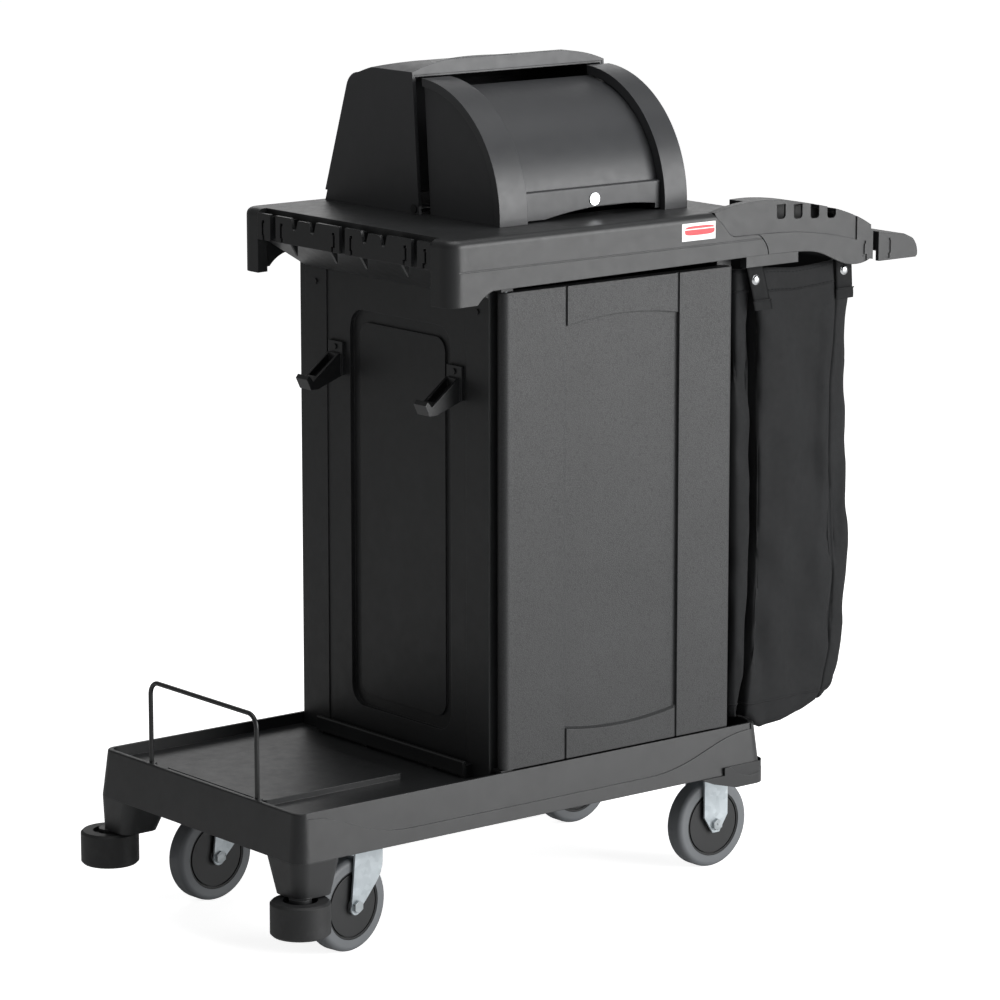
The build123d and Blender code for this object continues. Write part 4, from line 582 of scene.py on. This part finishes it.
# each strap's top and bottom (x, z) and its width, and each snap's (x, z), in mm
STRAPS = (((796.0, 884.0), (820.0, 801.0), 30.0), ((968.0, 880.0), (973.0, 803.0), 30.0))
SNAPS = ((804.0, 843.0), (970.0, 842.0))
STRAP_DEPTH = 208.6             # half width over the cloth where a strap lies on it
SNAP_DEPTH = 211.4
# radius and height of a snap's cap, from its rim to its crown
SNAP_PROFILE = ((7.4, -0.6), (7.6, 0.5), (7.2, 1.2), (6.4, 1.35), (6.2, 1.5), (5.6, 2.3), (4.4, 3.0),
                (2.8, 3.45), (1.2, 3.6))


def bag_section(v, bag):
    """Near half of the bag's plan at height v, 0 at its lowest cloth and 1 at its top, as (x, y) in mm."""
    level = EDGES_START + (BAG_TOP - EDGES_START) * v
    fold_x = between(FRONT_FOLD, level)
    back = between(BACK_EDGE, level)
    front = 777 + 2 * math.sin(5 * v)
    near = -BAG_HALF_WIDTH
    deep = near + bag.pleat_depth
    belly = 1.5 * math.sin(math.pi * v)
    return [
        (front, 0), (front - 1, -70), (front, -150), (front + 1, near + 16), (front + 6, near + 9),
        (fold_x - 13, near + 7), (fold_x - 7.5, near + 10), (fold_x - 5.5, deep), (fold_x - 3.0, deep),
        (fold_x - 1.4, near + 4), (fold_x + 2, near + 0.4), (fold_x + 40, near),
        ((fold_x + back) / 2 + 20, near + 2 - belly),
        (back - 37, near + 0.8), (back - 33, near + 3.2), (back - 29, near + 0.8), (back - 8, near + 1.2),
        (back - 1, near + 5), (back, near + 40), (back + 1, -90), (back + 1.5, 0),
    ]


def smooth_line(points, steps):
    """Points along a smooth open curve through the given plan points."""
    found = []
    count = len(points)
    for i in range(count - 1):
        p0 = Vector(points[max(i - 1, 0)])
        p1, p2 = Vector(points[i]), Vector(points[i + 1])
        p3 = Vector(points[min(i + 2, count - 1)])
        tight = 0.5
        m1 = (p2 - p0) * tight * min(1.0, (p2 - p1).length / max((p1 - p0).length, 1e-6))
        m2 = (p3 - p1) * tight * min(1.0, (p2 - p1).length / max((p3 - p2).length, 1e-6))
        for k in range(steps):
            t = k / steps
            a = 2 * t ** 3 - 3 * t ** 2 + 1
            b = t ** 3 - 2 * t ** 2 + t
            c = -2 * t ** 3 + 3 * t ** 2
            d = t ** 3 - t ** 2
            found.append(p1 * a + m1 * b + p2 * c + m2 * d)
    found.append(Vector(points[-1]))
    return found


def bag_ring(v, bag):
    """Closed plan line of the bag at height v, with its soft folds, as (x, y) in mm."""
    near = smooth_line(bag_section(v, bag), RING_STEPS)
    far = [Vector((p.x, -p.y)) for p in reversed(near[1:-1])]
    ring = near + far
    count = len(ring)
    moved = []
    for i, p in enumerate(ring):
        ahead, behind = ring[(i + 1) % count], ring[i - 1]
        along = ahead - behind
        out = Vector((along.y, -along.x))
        out = out.normalized() if out.length > 1e-6 else Vector((0, 0))
        drape = noise.noise(Vector((p.x * 0.026, p.y * 0.026, v * 2.4 + 3.1)))
        crease = 0.5 - abs(noise.noise(Vector((p.x * 0.045, p.y * 0.045, v * 4.6 + 9.7)))) * 2
        slant = noise.noise(Vector(((p.x + v * 260) * 0.022, p.y * 0.022, v * 9.5)))
        calm = min(1.0, (1.0 - v) * 7 + 0.12)
        depth = bag.fold_depth * (0.6 * drape + 0.16 * crease + 0.42 * slant - 0.12) * calm
        moved.append(p + out * min(depth, FOLD_OUT))
    return moved


def bag_height(v, x):
    """Height in mm of the bag's cloth at height v and length x, sagging between the straps at the top."""
    low = between(LOW_EDGE, x)
    along = min(1.0, max(0.0, (x - SAG_FROM) / SAG_LENGTH))
    sag = MOUTH_SAG * max(0.0, v - SAG_START) / SAG_BAND * math.sin(math.pi * along) ** 2
    return low + (BAG_TOP - low) * v - sag


def bag_level(z, i, bag):
    """Where the ring's point i stands at height z: its (x, y), and the v that gives it."""
    low_v, high_v = 0.0, 1.0
    for _ in range(12):
        v = (low_v + high_v) / 2
        p = bag_ring(v, bag)[i]
        if bag_height(v, p.x) < z:
            low_v = v
        else:
            high_v = v
    return bag_ring(high_v, bag)[i], high_v


class CART_OT_bag(bpy.types.Operator):
    """Sew the linen bag: cloth sack with pleats, base, hem, seams and stitches"""
    bl_idname = "cart.bag"
    bl_label = "Make the linen bag"

    def execute(self, context):
        bag = context.scene.cart_bag
        cloth = bpy.data.materials["coated_nylon_bag_cloth"]
        thread = bpy.data.materials["woven_polyester_webbing"]
        rings = [bag_ring(1 - r / BAG_ROWS, bag) for r in range(BAG_ROWS + 1)]
        self.sack(bag, cloth, rings)
        self.hem(bag, cloth)
        self.seams(bag, cloth, rings)
        self.stitches(bag, thread)
        return {"FINISHED"}

    def sack(self, bag, cloth, rings):
        """The open sack: its sides ring by ring, then its base drawn in to the middle."""
        points, faces = [], []
        for r, ring in enumerate(rings):
            v = 1 - r / BAG_ROWS
            points.extend(place(p.x, p.y, bag_height(v, p.x)) for p in ring)
        for scale in BASE_LEVELS:
            points.extend(self.base_point(p, scale) for p in rings[-1])
        count = len(rings[0])
        for n in range(BAG_ROWS + len(BASE_LEVELS)):
            for i in range(count):
                j = (i + 1) % count
                a, b = n * count, (n + 1) * count
                faces.append((a + i, a + j, b + j, b + i))
        last = (BAG_ROWS + len(BASE_LEVELS)) * count
        points.append(place(BASE_MIDDLE.x, 0, between(LOW_EDGE, BASE_MIDDLE.x)))
        for i in range(count):
            faces.append((last + i, last + (i + 1) % count, len(points) - 1))
        sack = new_piece("linen_bag_cloth", points, faces, cloth)
        solid = sack.modifiers.new("cloth_thickness", "SOLIDIFY")
        solid.thickness = bag.cloth_thickness / 1000
        solid.offset = -1.0
        finish_piece(sack, "cart", "bag_fabric", "bag")

    def base_point(self, p, scale):
        """Where a point of the lowest ring stands once drawn in, 1 at the ring and 0 at the middle."""
        q = BASE_MIDDLE + (p - BASE_MIDDLE) * scale
        wrinkle = 1.2 * noise.noise(Vector((q.x * 0.03, q.y * 0.03, 2.0))) * (1 - scale)
        slack = 2.0 * math.sin(math.pi * scale)
        lowest = CLOTH_OVER_DECK if q.x < DECK_REACH else CLOTH_PAST_DECK
        return place(q.x, q.y, max(between(LOW_EDGE, q.x) - slack + wrinkle, lowest))

    def hem(self, bag, cloth):
        """The turned top hem: an outer and an inner sheet, closed above and below."""
        points, faces = [], []
        for offset in (HEM_OUT, HEM_IN):
            for r in range(HEM_ROWS + 1):
                v = 1 - bag.hem_width * r / HEM_ROWS / CLOTH_DROP
                ring = bag_ring(v, bag)
                count = len(ring)
                for i, p in enumerate(ring):
                    along = ring[(i + 1) % count] - ring[i - 1]
                    out = Vector((along.y, -along.x)).normalized()
                    q = p + out * offset
                    points.append(place(q.x, q.y, bag_height(v, p.x) + (0.8 if r == 0 else 0)))
        sheet = (HEM_ROWS + 1) * count
        for r in range(HEM_ROWS):
            for i in range(count):
                j = (i + 1) % count
                faces.append((r * count + i, r * count + j, (r + 1) * count + j, (r + 1) * count + i))
                a = sheet + r * count
                faces.append((a + i, a + count + i, a + count + j, a + j))
        for r in (0, HEM_ROWS):
            for i in range(count):
                j = (i + 1) % count
                a, b = r * count, sheet + r * count
                face = (a + i, b + i, b + j, a + j)
                faces.append(face if r == 0 else face[::-1])
        finish_piece(new_piece("linen_bag_hem", points, faces, cloth), "cart", "bag_fabric")

    def seams(self, bag, cloth, rings):
        """The piped seam round the base and the seams down the two rear corners."""
        count = len(rings[0])
        base_line = []
        for i in range(count):
            p, v = bag_level(BASE_SEAM_HEIGHT, i, bag)
            base_line.append(place(p.x, p.y, bag_height(v, p.x)))
        tubes = [tube(base_line, BASE_SEAM_RADIUS / 1000, 6, closed=True)]
        corner = REAR_CORNER * RING_STEPS
        for index in (corner, count - corner):
            line = []
            for r, ring in enumerate(rings):
                p = ring[index]
                line.append(place(p.x, p.y, bag_height(1 - r / BAG_ROWS, p.x)))
            tubes.append(tube(line, CORNER_SEAM_RADIUS / 1000, 6))
        points, faces = merge(tubes)
        finish_piece(new_piece("linen_bag_seams", points, faces, cloth), "cart", "bag_fabric")

    def stitches(self, bag, thread):
        """Two rows of stitches along the hem."""
        made = []
        for below in (bag.hem_width - 3, 5):
            v = 1 - below / CLOTH_DROP
            ring = bag_ring(v, bag)
            count = len(ring)
            travelled, due = 0.0, 0.0
            for i in range(count):
                a, b = ring[i], ring[(i + 1) % count]
                span = (b - a).length
                out = Vector(((b - a).y, -(b - a).x)).normalized()
                while due < travelled + span:
                    t = (due - travelled) / span
                    p = a + (b - a) * t + out * STITCH_LIFT
                    step = (b - a).normalized() * bag.stitch_pitch * 0.3
                    z = bag_height(v, p.x)
                    ends = [place(p.x - step.x, p.y - step.y, z), place(p.x, p.y, z + 0.25),
                            place(p.x + step.x, p.y + step.y, z)]
                    made.append(tube(ends, STITCH_RADIUS / 1000, 5))
                    due += bag.stitch_pitch
                travelled += span
        points, faces = merge(made)
        finish_piece(new_piece("linen_bag_stitches", points, faces, thread), "cart", "webbing")


class CART_OT_straps(bpy.types.Operator):
    """Make the webbing straps and their snaps"""
    bl_idname = "cart.straps"
    bl_label = "Make the bag's straps and snaps"

    def execute(self, context):
        webbing = bpy.data.materials["woven_polyester_webbing"]
        nickel = bpy.data.materials["nickel_plated_brass"]
        bands, domes = [], []
        for side in (-1, 1):
            for top, bottom, width in STRAPS:
                bands.append(self.strap(side, top, bottom, width))
                bands.append(self.end_patch(side, top, bottom, width))
        points, faces = merge(bands)
        straps = new_piece("bag_strap_webbing", points, faces, webbing)
        finish_piece(straps, "cart", "webbing", "bag_straps")
        for side in (-1, 1):
            for x, z in SNAPS:
                cap = turned_form(SNAP_PROFILE, place(x, side * SNAP_DEPTH, z), Vector((0, side, 0)), 28)
                domes.append(cap)
        points, faces = merge(domes)
        snaps = new_piece("bag_snap_caps", points, faces, nickel)
        finish_piece(snaps, "cart", "nickel", "bag_snaps")
        return {"FINISHED"}

    def strap(self, side, top, bottom, width):
        """A flat band with rounded edges from the frame down over the bag's hem."""
        across, rows = 8, 16
        start, end = Vector(top), Vector(bottom)
        over = Vector((width / 2, 0.0))
        points, faces = [], []
        for facing, lift in ((1, 2.4), (-1, 0.9)):
            for r in range(rows + 1):
                t = r / rows
                spine = start + (end - start) * t
                bulge = 0.8 * math.sin(math.pi * t) + (3.5 * max(0.0, 0.2 - t) / 0.2)
                for k in range(across + 1):
                    s = 2 * k / across - 1
                    p = spine + over * s
                    edge = 0.5 * s ** 6
                    depth = STRAP_DEPTH + lift + bulge - facing * edge
                    points.append(place(p.x, side * depth, p.y))
        size = (rows + 1) * (across + 1)
        for r in range(rows):
            for k in range(across):
                a = r * (across + 1) + k
                quad = (a, a + 1, a + across + 2, a + across + 1)
                faces.append(quad)
                faces.append(tuple(i + size for i in reversed(quad)))
            for k in (0, across):
                a = r * (across + 1) + k
                b = a + across + 1
                faces.append((a, b, b + size, a + size))
        for r in (0, rows):
            for k in range(across):
                a = r * (across + 1) + k
                faces.append((a, a + 1, a + 1 + size, a + size))
        return points, faces

    def end_patch(self, side, top, bottom, width):
        """The strap's turned and sewn end, a little wider and thicker."""
        start, end = Vector(top), Vector(bottom)
        along = (end - start).normalized()
        low = end + along * 2
        high = end - along * 14
        return self.strap(side, high, low, width + 3)


class CART_OT_studio(bpy.types.Operator):
    """Set up the pale floor, soft studio lights and the camera"""
    bl_idname = "cart.studio"
    bl_label = "Set up the studio"

    def execute(self, context):
        studio = context.scene.cart_studio
        material, tree, shader, where = new_material("matt_studio_floor")
        mottle = add_node(tree, "ShaderNodeTexNoise",
                          {"Vector": where, "Scale": 0.6, "Detail": 2.0}).outputs["Fac"]
        base = add_node(tree, "ShaderNodeMix", {0: mottle, 6: paint(studio.floor), 7: paint("#f8f8f8")},
                        data_type="RGBA").outputs[2]
        tree.links.new(base, shader.inputs["Base Color"])
        shader.inputs["Roughness"].default_value = 0.9
        # the floor is lifted to white where it is seen directly, without lighting the cart from below
        seen = add_node(tree, "ShaderNodeLightPath").outputs["Is Camera Ray"]
        lift = add_node(tree, "ShaderNodeMath", {0: seen, 1: studio.floor_lift},
                        operation="MULTIPLY").outputs[0]
        shader.inputs["Emission Color"].default_value = paint("#ffffff")
        tree.links.new(lift, shader.inputs["Emission Strength"])
        reach = FLOOR_REACH
        corners = [(-reach, -reach, 0), (reach, -reach, 0), (reach, reach, 0), (-reach, reach, 0)]
        floor = new_piece("studio_floor", corners, [(0, 1, 2, 3)], material, smooth=False)
        world = bpy.data.worlds.new("studio_world")
        world.use_nodes = True
        background = world.node_tree.nodes["Background"]
        background.inputs["Color"].default_value = paint("#ffffff")
        background.inputs["Strength"].default_value = studio.sky
        context.scene.world = world
        for name, spot, aim, width, height, power in LIGHTS:
            self.light(name, spot, aim, width, height, getattr(studio, power))
        camera = bpy.data.objects.new("camera", bpy.data.cameras.new("camera"))
        context.scene.collection.objects.link(camera)
        camera.data.sensor_width = 36.0
        camera.data.lens = studio.lens
        camera.data.clip_end = 100.0
        camera.location = CAMERA_SPOT
        camera.rotation_euler = (math.radians(CAMERA_TILT), 0.0, math.radians(CAMERA_TURN))
        context.scene.camera = camera
        context.scene.view_settings.view_transform = "Standard"
        return {"FINISHED"}

    def light(self, name, spot, aim, width, height, power):
        """A rectangular soft light at spot that points at aim."""
        lamp = bpy.data.lights.new(name, "AREA")
        lamp.shape = "RECTANGLE"
        lamp.size, lamp.size_y = width, height
        lamp.energy = power
        made = bpy.data.objects.new(name, lamp)
        made.location = spot
        made.rotation_euler = (Vector(aim) - Vector(spot)).to_track_quat("-Z", "Y").to_euler()
        bpy.context.scene.collection.objects.link(made)


class CART_PT_panel(bpy.types.Panel):
    """Sidebar panel with the cart's sizes, colours and steps"""
    bl_idname = "CART_PT_panel"
    bl_label = "Housekeeping cart"
    bl_space_type = "VIEW_3D"
    bl_region_type = "UI"
    bl_category = "Cart"

    def draw(self, context):
        layout = self.layout
        for group in (context.scene.cart_look, context.scene.cart_bag, context.scene.cart_studio):
            box = layout.box()
            for name in group.bl_rna.properties.keys():
                if name not in ("rna_type", "name"):
                    box.prop(group, name)
        for operator in OPERATORS:
            layout.operator(operator.bl_idname)


OPERATORS = (CART_OT_finishes, CART_OT_bag, CART_OT_straps, CART_OT_studio)
GROUPS = {"cart_look": CartLook, "cart_bag": CartBag, "cart_studio": CartStudio}


def register():
    """Register the settings, operators and panel."""
    for name, group in GROUPS.items():
        bpy.utils.register_class(group)
        setattr(bpy.types.Scene, name, bpy.props.PointerProperty(type=group))
    for operator in OPERATORS:
        bpy.utils.register_class(operator)
    bpy.utils.register_class(CART_PT_panel)


def unregister():
    """Remove what register added."""
    bpy.utils.unregister_class(CART_PT_panel)
    for operator in reversed(OPERATORS):
        bpy.utils.unregister_class(operator)
    for name, group in GROUPS.items():
        delattr(bpy.types.Scene, name)
        bpy.utils.unregister_class(group)


def main():
    """Build the looks in order."""
    register()
    bpy.ops.cart.finishes()
    bpy.ops.cart.bag()
    bpy.ops.cart.straps()
    bpy.ops.cart.studio()


if __name__ == "__main__":
    main()
